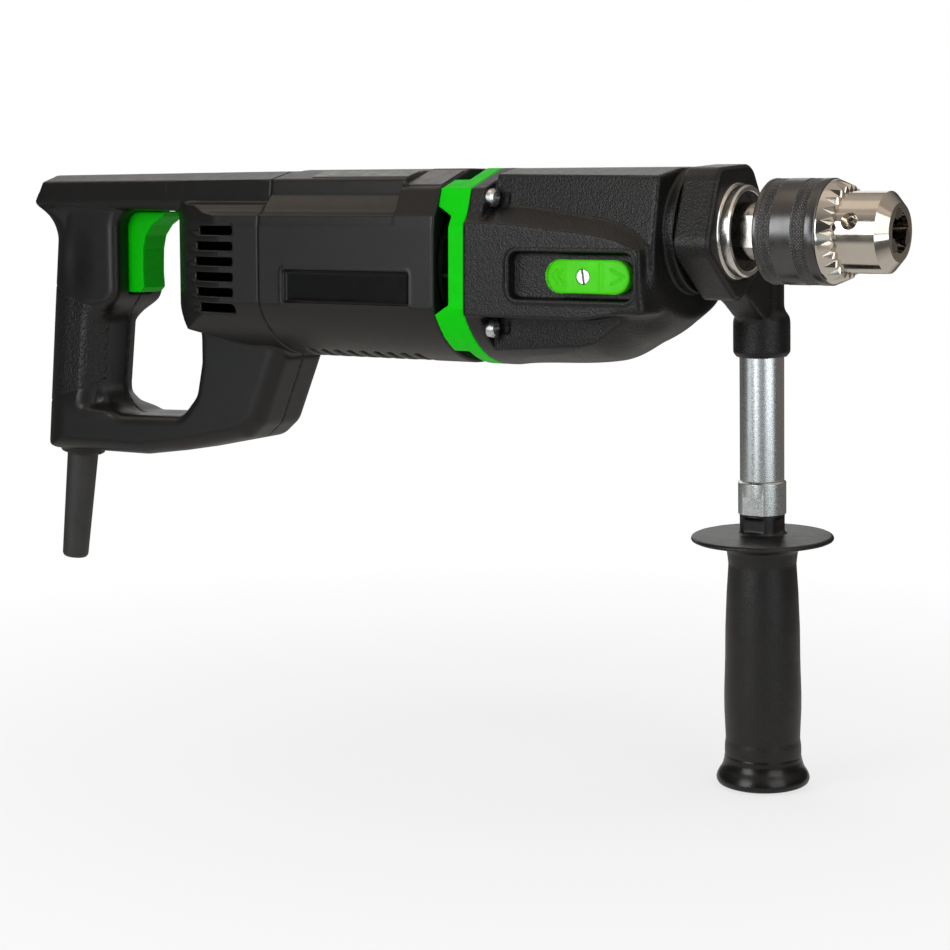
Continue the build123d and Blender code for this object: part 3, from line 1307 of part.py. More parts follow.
with BuildPart() as control_module:
    block(module_back, module_front, -module_width / 2, module_width / 2, module_bottom, module_top)
    fillet(control_module.edges().filter_by(Axis.Y), radius=2.0)
write(control_module, "control_module")

# Cable entry: clamp plate with its screws, and the sleeve that keeps the cable from kinking
with BuildPart() as cable_clamp:
    block(cable_clamp_posts[0] - clamp_post_radius, cable_clamp_posts[1] + clamp_post_radius, clamp_plate_y,
          clamp_plate_y + clamp_plate_thickness, cable_clamp_z - clamp_post_radius, cable_clamp_z + clamp_post_radius)
    for x in cable_clamp_posts:
        along_y(x, cable_clamp_z, clamp_screw_radius + seat_gap, clamp_plate_y, 2 * clamp_plate_y, Mode.SUBTRACT)
write(cable_clamp, "cable_clamp")

with BuildPart() as cable_clamp_screws:
    for x in cable_clamp_posts:
        along_y(x, cable_clamp_z, clamp_screw_radius, -7.5, clamp_plate_y + clamp_plate_thickness)
        along_y(x, cable_clamp_z, 2 * clamp_screw_radius, clamp_plate_y + clamp_plate_thickness,
                clamp_plate_y + clamp_plate_thickness + 2.0)
write(cable_clamp_screws, "cable_clamp_screws")

with BuildPart() as cable_sleeve:
    sleeve_end = cable_sleeve_length + 3.0
    flange_top = -3.6 - cable_sleeve_flange
    lead_radius = cable_radius + cable_lead_in
    sleeve_turn([(flange_top, lead_radius), (flange_top, cable_sleeve_flange_radius),
                 (-3.6, cable_sleeve_flange_radius), (-3.6, cable_sleeve_top_radius), (5.0, cable_sleeve_top_radius),
                 (sleeve_end - 1.5, cable_sleeve_end_radius), (sleeve_end, cable_sleeve_end_radius - 1.0),
                 (sleeve_end, cable_radius), (cable_sleeve_seat + cable_lead_in, cable_radius),
                 (cable_sleeve_seat, lead_radius)])
write(cable_sleeve, "cable_sleeve")

# Clamp collar on the neck, split at the lug where the side handle's stud draws it tight
handle_x = (collar_front + collar_back) / 2
handle_start = Vector(handle_x, side_handle_offset, 0)
handle_down = Vector(0, sin(radians(side_handle_swing)), -cos(radians(side_handle_swing)))
collar_corners = [(-19.6, 27.8), (-31.9, -8.1), (1.3, -33.1), (37.5, -6.3), (12.5, 29.9)]


def handle_turn(outline, mode=Mode.ADD):
    """Turn an outline, measured down the side handle's axis, about that axis."""
    with BuildSketch(Plane(origin=handle_start, x_dir=handle_down, z_dir=(1, 0, 0))) as half:
        with BuildLine():
            Polyline(*outline, close=True)
        make_face()
    revolve(half.sketch, axis=Axis(handle_start, handle_down), mode=mode)


cup_floor = cup_bottom - cup_depth
with BuildPart() as clamp_collar:
    with BuildSketch(across(collar_back)) as pentagon:
        with BuildLine():
            Polyline(*collar_corners, close=True)
        make_face()
        fillet(pentagon.vertices(), radius=collar_corner_radius)
    extrude(pentagon.sketch, amount=collar_thickness)
    chamfer(clamp_collar.faces().sort_by(Axis.X)[-1].edges(), length=collar_chamfer)
    with BuildSketch(across(handle_x - gusset_half_width)) as gusset:
        with BuildLine():
            Polyline((8.0, -28.0), (19.5, -35.5), (side_handle_offset - cup_radius + 1, -cup_top),
                     (side_handle_offset, -cup_top), (side_handle_offset, -5.0), close=True)
        make_face()
    extrude(gusset.sketch, amount=2 * gusset_half_width)
    handle_turn([(-lug_rise, 0), (-lug_rise, lug_radius - 1), (-lug_rise + 1, lug_radius),
                 (cup_top - cup_flare, lug_radius), (cup_top, cup_radius), (cup_bottom - 2.2, cup_radius),
                 (cup_bottom, cup_radius - 1.6), (cup_bottom, 0)])
    block(collar_back - 20, collar_back, 0, 2 * side_handle_offset, cup_flare - cup_top, 2 * lug_rise, Mode.SUBTRACT)
    rod(collar_back, collar_front, neck_radius + running_gap, mode=Mode.SUBTRACT)
    block(collar_back - 10, collar_front + 10, 0, 2 * side_handle_offset, -collar_slot / 2, collar_slot / 2,
          Mode.SUBTRACT)
    handle_turn([(-lug_rise - 5, 0), (-lug_rise - 5, stud_radius + running_gap), (0, stud_radius + running_gap),
                 (0, 0)], Mode.SUBTRACT)
    handle_turn([(0, 0), (0, stud_radius + slide_gap), (cup_floor, stud_radius + slide_gap),
                 (cup_floor, tube_radius + seat_gap), (cup_bottom + 5, tube_radius + seat_gap), (cup_bottom + 5, 0)],
                Mode.SUBTRACT)
write(clamp_collar, "clamp_collar")

# Side handle: stud, spacer tube, ferrule and grip turn together
ferrule_bottom = ferrule_top + ferrule_length
neck_bottom = ferrule_bottom + grip_neck_length
stud_end = neck_bottom + stud_grip_depth
grip_bottom = neck_bottom + grip_length
with BuildPart() as side_handle_stud:
    handle_turn([(-lug_rise + 1, 0), (-lug_rise + 1, stud_radius - 1), (-lug_rise + 2, stud_radius),
                 (stud_end, stud_radius), (stud_end, 0)])
write(side_handle_stud, "side_handle_stud")

with BuildPart() as side_handle_tube:
    handle_turn([(cup_floor + seat_gap, tube_bore_radius), (cup_floor + seat_gap, tube_radius),
                 (ferrule_top - seat_gap, tube_radius), (ferrule_top - seat_gap, tube_bore_radius)])
write(side_handle_tube, "side_handle_tube")

with BuildPart() as side_handle_ferrule:
    ferrule_bore = stud_radius + press_gap
    handle_turn([(ferrule_top, ferrule_bore), (ferrule_top, ferrule_radius - 1), (ferrule_top + 0.8, ferrule_radius),
                 (ferrule_bottom, ferrule_radius), (ferrule_bottom, ferrule_bore)])
    flat_middle = handle_start + handle_down * (ferrule_bottom - ferrule_flat_length / 2)
    for side in (-1, 1):
        with BuildSketch(Plane(origin=flat_middle, x_dir=(1, 0, 0), z_dir=handle_down)) as flats:
            with Locations((0, side * (ferrule_flats / 2 + ferrule_radius))):
                Rectangle(4 * ferrule_radius, 2 * ferrule_radius)
        extrude(flats.sketch, amount=ferrule_flat_length / 2, both=True, mode=Mode.SUBTRACT)
write(side_handle_ferrule, "side_handle_ferrule")

with BuildPart() as side_handle_grip:
    grip_bore = stud_radius + press_gap
    top = ferrule_bottom + press_gap
    flange_edge = neck_bottom + flange_thickness / 2
    handle_turn([(top, grip_bore), (top, grip_neck_radius), (neck_bottom - 0.4, grip_neck_radius),
                 (neck_bottom + 0.6, flange_radius - 0.8), (flange_edge, flange_radius),
                 (flange_edge + 1.0, flange_radius - 0.5), (neck_bottom + 5.0, grip_top_radius + 4.0),
                 (neck_bottom + 7.5, grip_top_radius + 0.8), (neck_bottom + 14.0, grip_top_radius),
                 (neck_bottom + 28.0, grip_radius - 0.9), (neck_bottom + 45.0, grip_radius - 0.2),
                 (neck_bottom + 62.0, grip_radius), (grip_bottom - 36.0, grip_radius - 0.2),
                 (grip_bottom - 22.0, grip_radius - 0.8), (grip_bottom - 12.0, grip_radius + 0.8),
                 (grip_bottom - 5.0, grip_end_radius - 0.6), (grip_bottom - 3.0, grip_end_radius),
                 (grip_bottom - 1.0, grip_end_radius - 0.7), (grip_bottom, grip_end_radius - 3.2), (grip_bottom, 0),
                 (stud_end + seat_gap, 0), (stud_end + seat_gap, grip_bore)])
    window_middle = handle_start + handle_down * (ferrule_bottom + grip_neck_length / 2)
    with BuildSketch(Plane(origin=window_middle, x_dir=(1, 0, 0), z_dir=handle_down)) as windows:
        with PolarLocations(grip_neck_radius, 4):
            Rectangle(2 * grip_window_depth, grip_window_width)
    extrude(windows.sketch, amount=grip_window_height / 2, both=True, mode=Mode.SUBTRACT)
write(side_handle_grip, "side_handle_grip")
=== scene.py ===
import json
from math import cos, exp, hypot, pi, radians, sin

import bmesh
import bpy
from mathutils import Matrix, Vector


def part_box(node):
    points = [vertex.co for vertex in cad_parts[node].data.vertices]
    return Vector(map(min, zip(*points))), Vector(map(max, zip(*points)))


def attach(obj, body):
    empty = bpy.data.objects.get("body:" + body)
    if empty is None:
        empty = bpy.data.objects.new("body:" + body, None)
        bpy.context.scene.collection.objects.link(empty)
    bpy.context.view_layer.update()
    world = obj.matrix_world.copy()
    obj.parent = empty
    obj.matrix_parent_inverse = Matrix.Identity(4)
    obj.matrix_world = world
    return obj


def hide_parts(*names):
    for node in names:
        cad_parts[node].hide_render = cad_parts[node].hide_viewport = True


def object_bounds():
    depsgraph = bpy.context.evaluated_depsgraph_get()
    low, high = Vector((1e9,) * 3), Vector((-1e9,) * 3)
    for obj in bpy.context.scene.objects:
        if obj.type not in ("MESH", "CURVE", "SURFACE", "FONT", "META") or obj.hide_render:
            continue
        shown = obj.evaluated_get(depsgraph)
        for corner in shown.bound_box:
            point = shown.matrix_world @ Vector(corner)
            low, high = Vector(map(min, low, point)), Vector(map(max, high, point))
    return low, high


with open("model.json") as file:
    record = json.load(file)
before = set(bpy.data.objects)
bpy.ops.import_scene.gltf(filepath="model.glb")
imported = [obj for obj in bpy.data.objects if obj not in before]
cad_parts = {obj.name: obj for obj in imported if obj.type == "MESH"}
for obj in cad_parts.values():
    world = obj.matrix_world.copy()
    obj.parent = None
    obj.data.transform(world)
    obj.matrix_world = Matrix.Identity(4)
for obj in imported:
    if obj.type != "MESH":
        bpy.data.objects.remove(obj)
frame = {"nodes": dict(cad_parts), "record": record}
cad_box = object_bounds()
scene = bpy.context.scene
cad = frame["nodes"]
MM = 0.001

# Least divisor, and distance in metres at which points are welded
TINY = 1e-6
WELD_GAP = 1e-6

# Angles in degrees above which an edge stays sharp
TURNED_SHARP = 38
CROWN_SHARP = 22
EDGE_SHARP = 30

# Share of a normal that may point round the spindle on a face that counts as turned
MOST_AROUND = 0.12

# Camera, as fitted to the photograph
LENS = 85.0
SENSOR = 36.0
CAMERA_AT = (0.3759, -0.8969, 0.0142)
CAMERA_TURN = radians(33.42)
CAMERA_PITCH = radians(7.02)

# Places along the spindle from the chuck's face, radii, and recesses as X and Z ranges, in millimetres
SLEEVE_FRONT = -29.7
SLEEVE_BACK = -59.2
SLEEVE_RADIUS = 23.2
NECK_FRONT = -71.0
NECK_STEP = -75.6
NECK_BACK = -93.6
NECK_RADIUS = 22.2
NECK_BORE = 17.6
NECK_OUTER = 21.5
NECK_RIM = 20.4
RECESS = (-170.3, -106.3, -30.5, -9.5)
NAME_RECESS = (-300.0, -226.0, -35.3, -19.7)
MOTOR_BACK = -314.5

# Materials: ranges of the noise that make speckles and of the edge sharpness that wears, and size of smudges
SPECKLE_RANGE = (0.55, 0.8)
WORN_RANGE = (0.53, 0.62)
SMUDGE_SHARE = 0.6


def node_graph(name):
    """New material with one shader, and its graph."""
    material = bpy.data.materials.new(name)
    material.use_nodes = True
    graph = material.node_tree
    graph.nodes.clear()
    output = graph.nodes.new("ShaderNodeOutputMaterial")
    shader = graph.nodes.new("ShaderNodeBsdfPrincipled")
    graph.links.new(shader.outputs["BSDF"], output.inputs["Surface"])
    return material, graph, shader


def noise_of(graph, place, size_mm, detail, rough=0.55, stretch=None):
    """Noise whose features are about size_mm across, stretched along an axis on request."""
    source = place
    if stretch:
        mapping = graph.nodes.new("ShaderNodeMapping")
        mapping.inputs["Scale"].default_value = stretch
        graph.links.new(place, mapping.inputs["Vector"])
        source = mapping.outputs["Vector"]
    noise = graph.nodes.new("ShaderNodeTexNoise")
    noise.inputs["Scale"].default_value = 1.0 / (size_mm * MM)
    noise.inputs["Detail"].default_value = detail
    noise.inputs["Roughness"].default_value = rough
    graph.links.new(source, noise.inputs["Vector"])
    return noise.outputs["Fac"]


def spread(graph, value, low, high, low_in=0.3, high_in=0.7):
    """Map a value between low_in and high_in onto low to high."""
    remap = graph.nodes.new("ShaderNodeMapRange")
    remap.inputs["From Min"].default_value = low_in
    remap.inputs["From Max"].default_value = high_in
    remap.inputs["To Min"].default_value = low
    remap.inputs["To Max"].default_value = high
    graph.links.new(value, remap.inputs["Value"])
    return remap.outputs["Result"]


def mix_colour(graph, factor, first, second):
    """Blend from the first colour to the second by a factor."""
    mix = graph.nodes.new("ShaderNodeMix")
    mix.data_type = "RGBA"
    graph.links.new(factor, mix.inputs["Factor"])
    for socket, colour in ((mix.inputs[6], first), (mix.inputs[7], second)):
        if hasattr(colour, "links"):
            graph.links.new(colour, socket)
        else:
            socket.default_value = (*colour, 1.0)
    return mix.outputs[2]


def finish(name, colour, rough, metal=0.0, grain=0.5, depth=0.01, mottle=9.0, vary=0.18, rough_vary=0.08,
           wear=0.0, wear_colour=None, specular=0.5, stretch=None, speckle=0.0):
    """One procedural finish: mottled colour, uneven roughness, grain in relief and paler edges, which are
    wear and, on the chuck sleeve's knurl tips, partly painted highlight.
    """
    material, graph, shader = node_graph(name)
    place = graph.nodes.new("ShaderNodeTexCoord").outputs["Object"]
    broad = noise_of(graph, place, mottle, detail=4.0)
    fine = noise_of(graph, place, grain, detail=2.0, rough=0.5, stretch=stretch)
    dark = tuple(c * (1 - vary) for c in colour)
    pale = tuple(min(1.0, c * (1 + vary)) for c in colour)
    shade = mix_colour(graph, spread(graph, broad, 0.0, 1.0), dark, pale)
    if speckle:
        bright = tuple(min(1.0, c * (1 + speckle)) for c in colour)
        shade = mix_colour(graph, spread(graph, fine, 0.0, 1.0, *SPECKLE_RANGE), shade, bright)
    # Paler sharp edges by pointiness: wear, and on the blackened sleeve's knurl tips partly painted highlight
    if wear:
        edge = graph.nodes.new("ShaderNodeNewGeometry").outputs["Pointiness"]
        worn = spread(graph, edge, 0.0, wear, *WORN_RANGE)
        shade = mix_colour(graph, worn, shade, wear_colour)
    graph.links.new(shade, shader.inputs["Base Color"])
    smudge = noise_of(graph, place, mottle * SMUDGE_SHARE, detail=3.0)
    graph.links.new(spread(graph, smudge, rough - rough_vary, rough + rough_vary), shader.inputs["Roughness"])
    shader.inputs["Metallic"].default_value = metal
    shader.inputs["Specular IOR Level"].default_value = specular
    bump = graph.nodes.new("ShaderNodeBump")
    bump.inputs["Strength"].default_value = 1.0
    bump.inputs["Distance"].default_value = depth * MM
    graph.links.new(fine, bump.inputs["Height"])
    graph.links.new(bump.outputs["Normal"], shader.inputs["Normal"])
    return material


look = {
    "black_plastic": finish("moulded_black", (0.0062, 0.0062, 0.0061), 0.38, grain=0.4, depth=0.02, vary=0.12,
                            rough_vary=0.025, wear=0.5, wear_colour=(0.035, 0.034, 0.033), specular=0.52),
    "black_casting": finish("grained_black", (0.0062, 0.0062, 0.0062), 0.34, grain=0.85, depth=0.27,
                            vary=0.12, rough_vary=0.025, wear=0.6, wear_colour=(0.05, 0.049, 0.048),
                            specular=0.45, speckle=1.2),
    "leather_grain": finish("leather_grain", (0.0066, 0.0065, 0.0064), 0.34, grain=1.35, depth=0.5, vary=0.15,
                            rough_vary=0.03, specular=0.5),
    # Floor of the name recesses: glossy, and darker than the body as painted shade that stands in for a deep
    # recess
    "gloss_black_painted_shade": finish("gloss_black_painted_shade", (0.003, 0.003, 0.003), 0.24, grain=1.5, depth=0.002, vary=0.15,
                          rough_vary=0.03, specular=0.2),
    "green_plastic": finish("ring_green", (0.0004, 0.64, 0.0008), 0.42, grain=0.6, depth=0.012, vary=0.05,
                            wear=0.4, wear_colour=(0.05, 0.82, 0.05), specular=0.1),
    "dark_green_plastic": finish("trigger_green", (0.0002, 0.48, 0.0003), 0.46, grain=0.5, depth=0.02,
                                 vary=0.06, wear=0.35, wear_colour=(0.02, 0.6, 0.02), specular=0.1),
    "lime_plastic": finish("selector_green", (0.075, 0.7, 0.008), 0.36, grain=0.6, depth=0.01, vary=0.06,
                           wear=0.35, wear_colour=(0.2, 0.88, 0.08), specular=0.2),
    "grip_plastic": finish("side_grip_black", (0.0075, 0.0075, 0.0075), 0.37, grain=0.7, depth=0.12,
                           vary=0.15, rough_vary=0.03, wear=0.4, wear_colour=(0.03, 0.03, 0.03),
                           specular=0.55, speckle=1.5),
    "grip_foot": finish("side_grip_foot", (0.006, 0.006, 0.006), 0.26, grain=0.6, depth=0.008, vary=0.15,
                        rough_vary=0.03, specular=0.5),
    "black_rubber": finish("cable_rubber", (0.028, 0.028, 0.028), 0.46, grain=0.5, depth=0.02, vary=0.15,
                           rough_vary=0.03, wear=0.4, wear_colour=(0.04, 0.04, 0.04), specular=0.6),
    "plain_plate": finish("bare_plate", (0.19, 0.187, 0.18), 0.4, metal=0.6, grain=0.5, depth=0.006,
                          vary=0.08, stretch=(0.05, 1.0, 1.0)),
    "zinc_steel": finish("zinc_plate", (0.80, 0.835, 0.85), 0.27, metal=1.0, grain=1.3, depth=0.004,
                         mottle=1.5, vary=0.08, rough_vary=0.06, wear=0.3, wear_colour=(0.8, 0.8, 0.8)),
    "steel": finish("ground_steel", (0.46, 0.44, 0.41), 0.2, metal=1.0, grain=0.25, depth=0.004, vary=0.1,
                    stretch=(1.0, 0.03, 0.03)),
    "polished_steel": finish("polished_steel", (0.76, 0.71, 0.64), 0.12, metal=1.0, grain=0.22, depth=0.0016,
                             mottle=12.0, vary=0.05, rough_vary=0.03, stretch=(1.0, 0.02, 0.02)),
    # Blackened steel: paler on sharp edges and the knurl's tips, partly wear and partly painted highlight
    # standing in for light catching the knurl
    "blackened_steel": finish("blackened_steel", (0.135, 0.135, 0.137), 0.28, metal=1.0, grain=0.35,
                              depth=0.004, vary=0.12, rough_vary=0.03, wear=0.6,
                              wear_colour=(0.34, 0.34, 0.335)),
    "lamination_steel": finish("stacked_sheet", (0.2, 0.2, 0.21), 0.45, metal=1.0, grain=0.5, depth=0.02,
                               stretch=(1.0, 0.01, 0.01)),
    "copper": finish("enamelled_wire", (0.55, 0.22, 0.08), 0.35, metal=1.0, grain=0.9, depth=0.1,
                     stretch=(0.08, 1.0, 1.0)),
    "brass": finish("satin_brass", (0.66, 0.47, 0.17), 0.32, metal=1.0, grain=0.4, depth=0.004),
    "carbon": finish("carbon_block", (0.022, 0.022, 0.022), 0.6, grain=0.4, depth=0.02),
    "bare_aluminium": finish("turned_aluminium", (0.86, 0.84, 0.80), 0.25, metal=1.0, grain=0.3, depth=0.003,
                             vary=0.07, stretch=(1.0, 0.03, 0.03)),
}
slot_of = {part["node"]: part["material_slot"] for part in frame["record"]["subparts"]}
for node, shape in cad.items():
    shape.data.materials.clear()
    shape.data.materials.append(look[slot_of[node]])
    for face in shape.data.polygons:
        face.material_index = 0

# Making pieces: strength of a smoothing pass, least weight that counts, and angle below which faces are one
SMOOTHING = 0.5
LEAST_WEIGHT = 0.001
FLAT_ANGLE = 1.0


def link_piece(name, mesh):
    """New object for a mesh, placed in the scene."""
    piece = bpy.data.objects.new(name, mesh)
    scene.collection.objects.link(piece)
    return piece


def settle(piece, body, slot, *replaced, extra=()):
    """Give a piece its finish, tie it to the body that carries it, and hide the nodes it stands for."""
    piece.data.materials.clear()
    for key in (slot, *extra):
        piece.data.materials.append(look[key])
    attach(piece, body)
    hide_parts(*replaced)


def baked(piece):
    """Turn the piece's modifiers into its mesh."""
    bpy.context.view_layer.update()
    graph = bpy.context.evaluated_depsgraph_get()
    mesh = bpy.data.meshes.new_from_object(piece.evaluated_get(graph))
    piece.modifiers.clear()
    piece.data = mesh
    return piece


def welded_copy(node, name, flatten=False):
    """Copy of a node as a new piece, with its points welded and, on request, its flat faces joined."""
    mesh = cad[node].data.copy()
    mesh.name = name
    welded = bmesh.new()
    welded.from_mesh(mesh)
    bmesh.ops.remove_doubles(welded, verts=welded.verts, dist=WELD_GAP)
    if flatten:
        flat = radians(FLAT_ANGLE)
        bmesh.ops.dissolve_limit(welded, angle_limit=flat, verts=welded.verts, edges=welded.edges)
    welded.to_mesh(mesh)
    welded.free()
    return link_piece(name, mesh)


def soften(node, name, voxel, passes, zones=()):
    """Copy of a node with its edges rounded off as a mould leaves them; zones round chosen places further."""
    piece = welded_copy(node, name)
    remesh = piece.modifiers.new("even", "REMESH")
    remesh.mode = "VOXEL"
    remesh.voxel_size = voxel * MM
    baked(piece)
    for weight, rounds in ((None, passes), *zones):
        smooth = piece.modifiers.new("round", "SMOOTH")
        smooth.factor = SMOOTHING
        smooth.iterations = rounds
        if weight:
            group = piece.vertex_groups.new(name="zone")
            for vertex in piece.data.vertices:
                amount = weight(vertex.co / MM)
                if amount > LEAST_WEIGHT:
                    group.add([vertex.index], min(1.0, amount), "REPLACE")
            smooth.vertex_group = "zone"
        baked(piece)
        piece.vertex_groups.clear()
    piece.data.shade_smooth()
    return piece


def push(piece, shift):
    """Move each point of a piece by what shift gives for its place and normal, in millimetres."""
    normals = [vertex.normal.copy() for vertex in piece.data.vertices]
    for vertex, normal in zip(piece.data.vertices, normals):
        move = shift(vertex.co / MM, normal)
        if move is not None:
            vertex.co += move * MM
    piece.data.update()
    return piece


def ramp(value, low, high):
    """Smooth step from 0 at low to 1 at high."""
    share = min(1.0, max(0.0, (value - low) / (high - low)))
    return share * share * (3 - 2 * share)


def bell(value, width):
    """Bump of height 1 about 0, falling off over a width."""
    return exp(-(value / width) ** 2)


def lathe(name, outline, start, along, segments, radial=None):
    """Turn an outline of (distance, radius) about a line; radial may change the radius with the angle."""
    along = along.normalized()
    first = along.orthogonal().normalized()
    second = along.cross(first)
    points = []
    for distance, radius in outline:
        for step in range(segments):
            angle = 2 * pi * step / segments
            reach = radial(distance, angle, radius) if radial else radius
            spoke = first * cos(angle) + second * sin(angle)
            points.append((start + along * distance + spoke * reach) * MM)
    rings = len(outline)
    faces = []
    for ring in range(rings):
        here = ring * segments
        there = ((ring + 1) % rings) * segments
        for step in range(segments):
            following = (step + 1) % segments
            faces.append((here + step, here + following, there + following, there + step))
    return solid(name, points, faces, TURNED_SHARP)


def solid(name, points, faces, sharp):
    """Piece from points and faces, smooth but for edges sharper than an angle."""
    mesh = bpy.data.meshes.new(name)
    mesh.from_pydata(points, [], faces)
    clean = bmesh.new()
    clean.from_mesh(mesh)
    bmesh.ops.remove_doubles(clean, verts=clean.verts, dist=WELD_GAP)
    bmesh.ops.recalc_face_normals(clean, faces=clean.faces)
    clean.to_mesh(mesh)
    clean.free()
    mesh.shade_smooth()
    mesh.set_sharp_from_angle(angle=radians(sharp))
    return link_piece(name, mesh)


def bevelled(node, name, width, angle=EDGE_SHARP, segments=2):
    """Copy of a node with small chamfers that catch the light."""
    piece = welded_copy(node, name, flatten=True)
    edge = piece.modifiers.new("chamfer", "BEVEL")
    edge.width = width * MM
    edge.segments = segments
    edge.limit_method = "ANGLE"
    edge.angle_limit = radians(angle)
    edge.use_clamp_overlap = True
    edge.harden_normals = False
    baked(piece)
    piece.data.shade_smooth()
    piece.data.set_sharp_from_angle(angle=radians(EDGE_SHARP))
    even = piece.modifiers.new("even", "WEIGHTED_NORMAL")
    even.weight = 50
    even.keep_sharp = True
    return baked(piece)


def turned(piece):
    """Exact normals where a piece was turned about the spindle, so that reflections run straight."""
    mesh = piece.data
    normals = [corner.vector.copy() for corner in mesh.corner_normals]
    for face in mesh.polygons:
        centre = face.center
        away = hypot(centre.y, centre.z)
        around = (face.normal.z * centre.y - face.normal.y * centre.z) / away
        if abs(around) > MOST_AROUND:
            continue
        outward = (face.normal.y * centre.y + face.normal.z * centre.z) / away
        for loop in face.loop_indices:
            place = mesh.vertices[mesh.loops[loop].vertex_index].co
            reach = hypot(place.y, place.z)
            normal = Vector((face.normal.x, outward * place.y / reach, outward * place.z / reach))
            normals[loop] = normal.normalized()
    mesh.normals_split_custom_set(normals)
    return piece


def frame_distance(x, z, box, corner):
    """Distance outside (or, below zero, inside) a rounded rectangle in the X-Z plane."""
    low_x, high_x, low_z, high_z = box
    side = max(low_x + corner - x, x - high_x + corner)
    level = max(low_z + corner - z, z - high_z + corner)
    if side > 0 and level > 0:
        return hypot(side, level) - corner
    return max(side, level) - corner


# Rear handle, in its two halves: the grip, from its front edge below the trigger
GRIP_BEGINS = -425.0
GRIP_FRONT = (MOTOR_BACK - 120.5, -45.0)
GRIP_LEAN = 4.5 / 42
GRIP_ROUND = 17.0
GRIP_HALF_WIDTH = 20.0
GRIP_POINT = 1.6
GRIP_CORNER = 5.5
EGG_HALVINGS = 16
GRIP_FADE_FOOT = (-98.5, -93)
GRIP_FADE_TOP = (-52, -38)
GRIP_FADE_AHEAD = (1.05 * GRIP_ROUND, 1.9 * GRIP_ROUND)

# Grained band: each edge as a point in X and Z and the slope through it
PATCH_TOP = (-457.6, -38.1, -0.328)
PATCH_BOTTOM = (-456.6, -86.8, 0.28)
PATCH_INSET = 0.4
PATCH_FROM_MIDDLE = 10.0
BORDER_DEPTH = 0.4
BORDER_WIDTH = 0.6

# Hollow for the thumb and swell at the foot: middle and size in X and Z
THUMB_DEPTH = 2.8
THUMB_AT = (-459.0, -19.0)
THUMB_SIZE = (9.0, 15.0)
SWELL_HEIGHT = 1.3
SWELL_AT = (-450.0, -93.5)
SWELL_SIZE = (14.0, 5.0)

# Vents of the motor's cap, measured back from the motor housing
VENT_ROWS = 6
VENT_PITCH = 7.6
VENT_TOP = -1.25
VENT_FRONT = 20.0
VENT_BACK = 46.0
VENT_BOW = 5.0
VENT_DEPTH = 1.8
VENT_WIDTH = 2.0
VENT_RUN_OUT = (2, 12)
VENT_LAP = 1.0

# Back of the motor's cap, length of the bar behind the motor, and wall of the shells
CAP_BACK = -386.5
BAR_LENGTH = 170.5
SHELL_WALL = 2.2

# Spine on the motor's cap: each size at its front, and what it loses along the whole bar
SPINE_HALF_WIDTH = (32.0, 11.5)
SPINE_FLAT = (14.0, 4.0)
SPINE_EDGE = (30.5, 11.2)
SPINE_TOP = (27.7, 1.1)
SPINE_FALL = (4.1, 0.5)
SPINE_SIZES = (SPINE_HALF_WIDTH, SPINE_FLAT, SPINE_EDGE, SPINE_TOP, SPINE_FALL)

# Heights over which the spine's sides are drawn in, and the lean of its sides above a height
SPINE_FOOT = (11.0, 13.0)
SPINE_LEAN = 1.5 / 11.6
SPINE_LEAN_FROM = 12.0

# Outward part of a normal, past which a face counts as inner, outer or plainly sideways
INWARD = -0.2
OUTWARD = 0.2
SIDEWAYS = 0.4


def grip_front(z):
    """Front edge of the grip at a height, below the trigger."""
    start_x, start_z = GRIP_FRONT
    return start_x + (z - start_z) * GRIP_LEAN


def patch_distance(place):
    """Distance outside the grained band round the grip, whose top and bottom run aslant."""
    top, bottom = (z + slope * (place.x - x) for x, z, slope in (PATCH_TOP, PATCH_BOTTOM))
    return max(place.z - top, bottom - place.z)


def square_reach(run, rise):
    """Distance to the edge of the grip's rounded square section along a direction."""
    straight_x = GRIP_ROUND - GRIP_CORNER
    straight_y = GRIP_HALF_WIDTH - GRIP_CORNER
    reach = min(GRIP_ROUND / max(run, TINY), GRIP_HALF_WIDTH / max(rise, TINY))
    if reach * run <= straight_x or reach * rise <= straight_y:
        return reach
    toward = straight_x * run + straight_y * rise
    past = straight_x ** 2 + straight_y ** 2 - GRIP_CORNER ** 2
    return toward + (toward ** 2 - past) ** 0.5


def egg_reach(run, rise):
    """Distance to the edge of an egg-shaped section, with its point ahead, along a direction."""
    low = 0.0
    high = 2 * GRIP_HALF_WIDTH
    for _ in range(EGG_HALVINGS):
        reach = (low + high) / 2
        if rise * reach / GRIP_HALF_WIDTH + (run * reach / GRIP_ROUND) ** GRIP_POINT < 1:
            low = reach
        else:
            high = reach
    return low


def mound(place, middle, size):
    """Height, from 0 to 1, of a round mound in the X-Z plane."""
    return bell(place.x - middle[0], size[0]) * bell(place.z - middle[1], size[1])


def grip_shape(place, normal, side):
    """Round the grip's front, hollow it for the thumb, swell its foot and rim its grained band."""
    move = Vector((0, 0, 0))
    share = ramp(place.z, *GRIP_FADE_FOOT) * (1 - ramp(place.z, *GRIP_FADE_TOP))
    along = place.x - grip_front(place.z) + GRIP_ROUND
    share *= 1 - ramp(along, *GRIP_FADE_AHEAD)
    if share > 0 and along > 0:
        away = hypot(along, place.y)
        toward = (along / away, abs(place.y) / away)
        keep = egg_reach(*toward) / square_reach(*toward)
        move.x += share * along * (keep - 1)
        move.y += share * place.y * (keep - 1)
    if normal.y * side > SIDEWAYS:
        hollow = THUMB_DEPTH * mound(place, THUMB_AT, THUMB_SIZE)
        swell = SWELL_HEIGHT * mound(place, SWELL_AT, SWELL_SIZE)
        border = BORDER_DEPTH * bell(patch_distance(place), BORDER_WIDTH)
        move.y -= side * (hollow + border - swell)
    return move


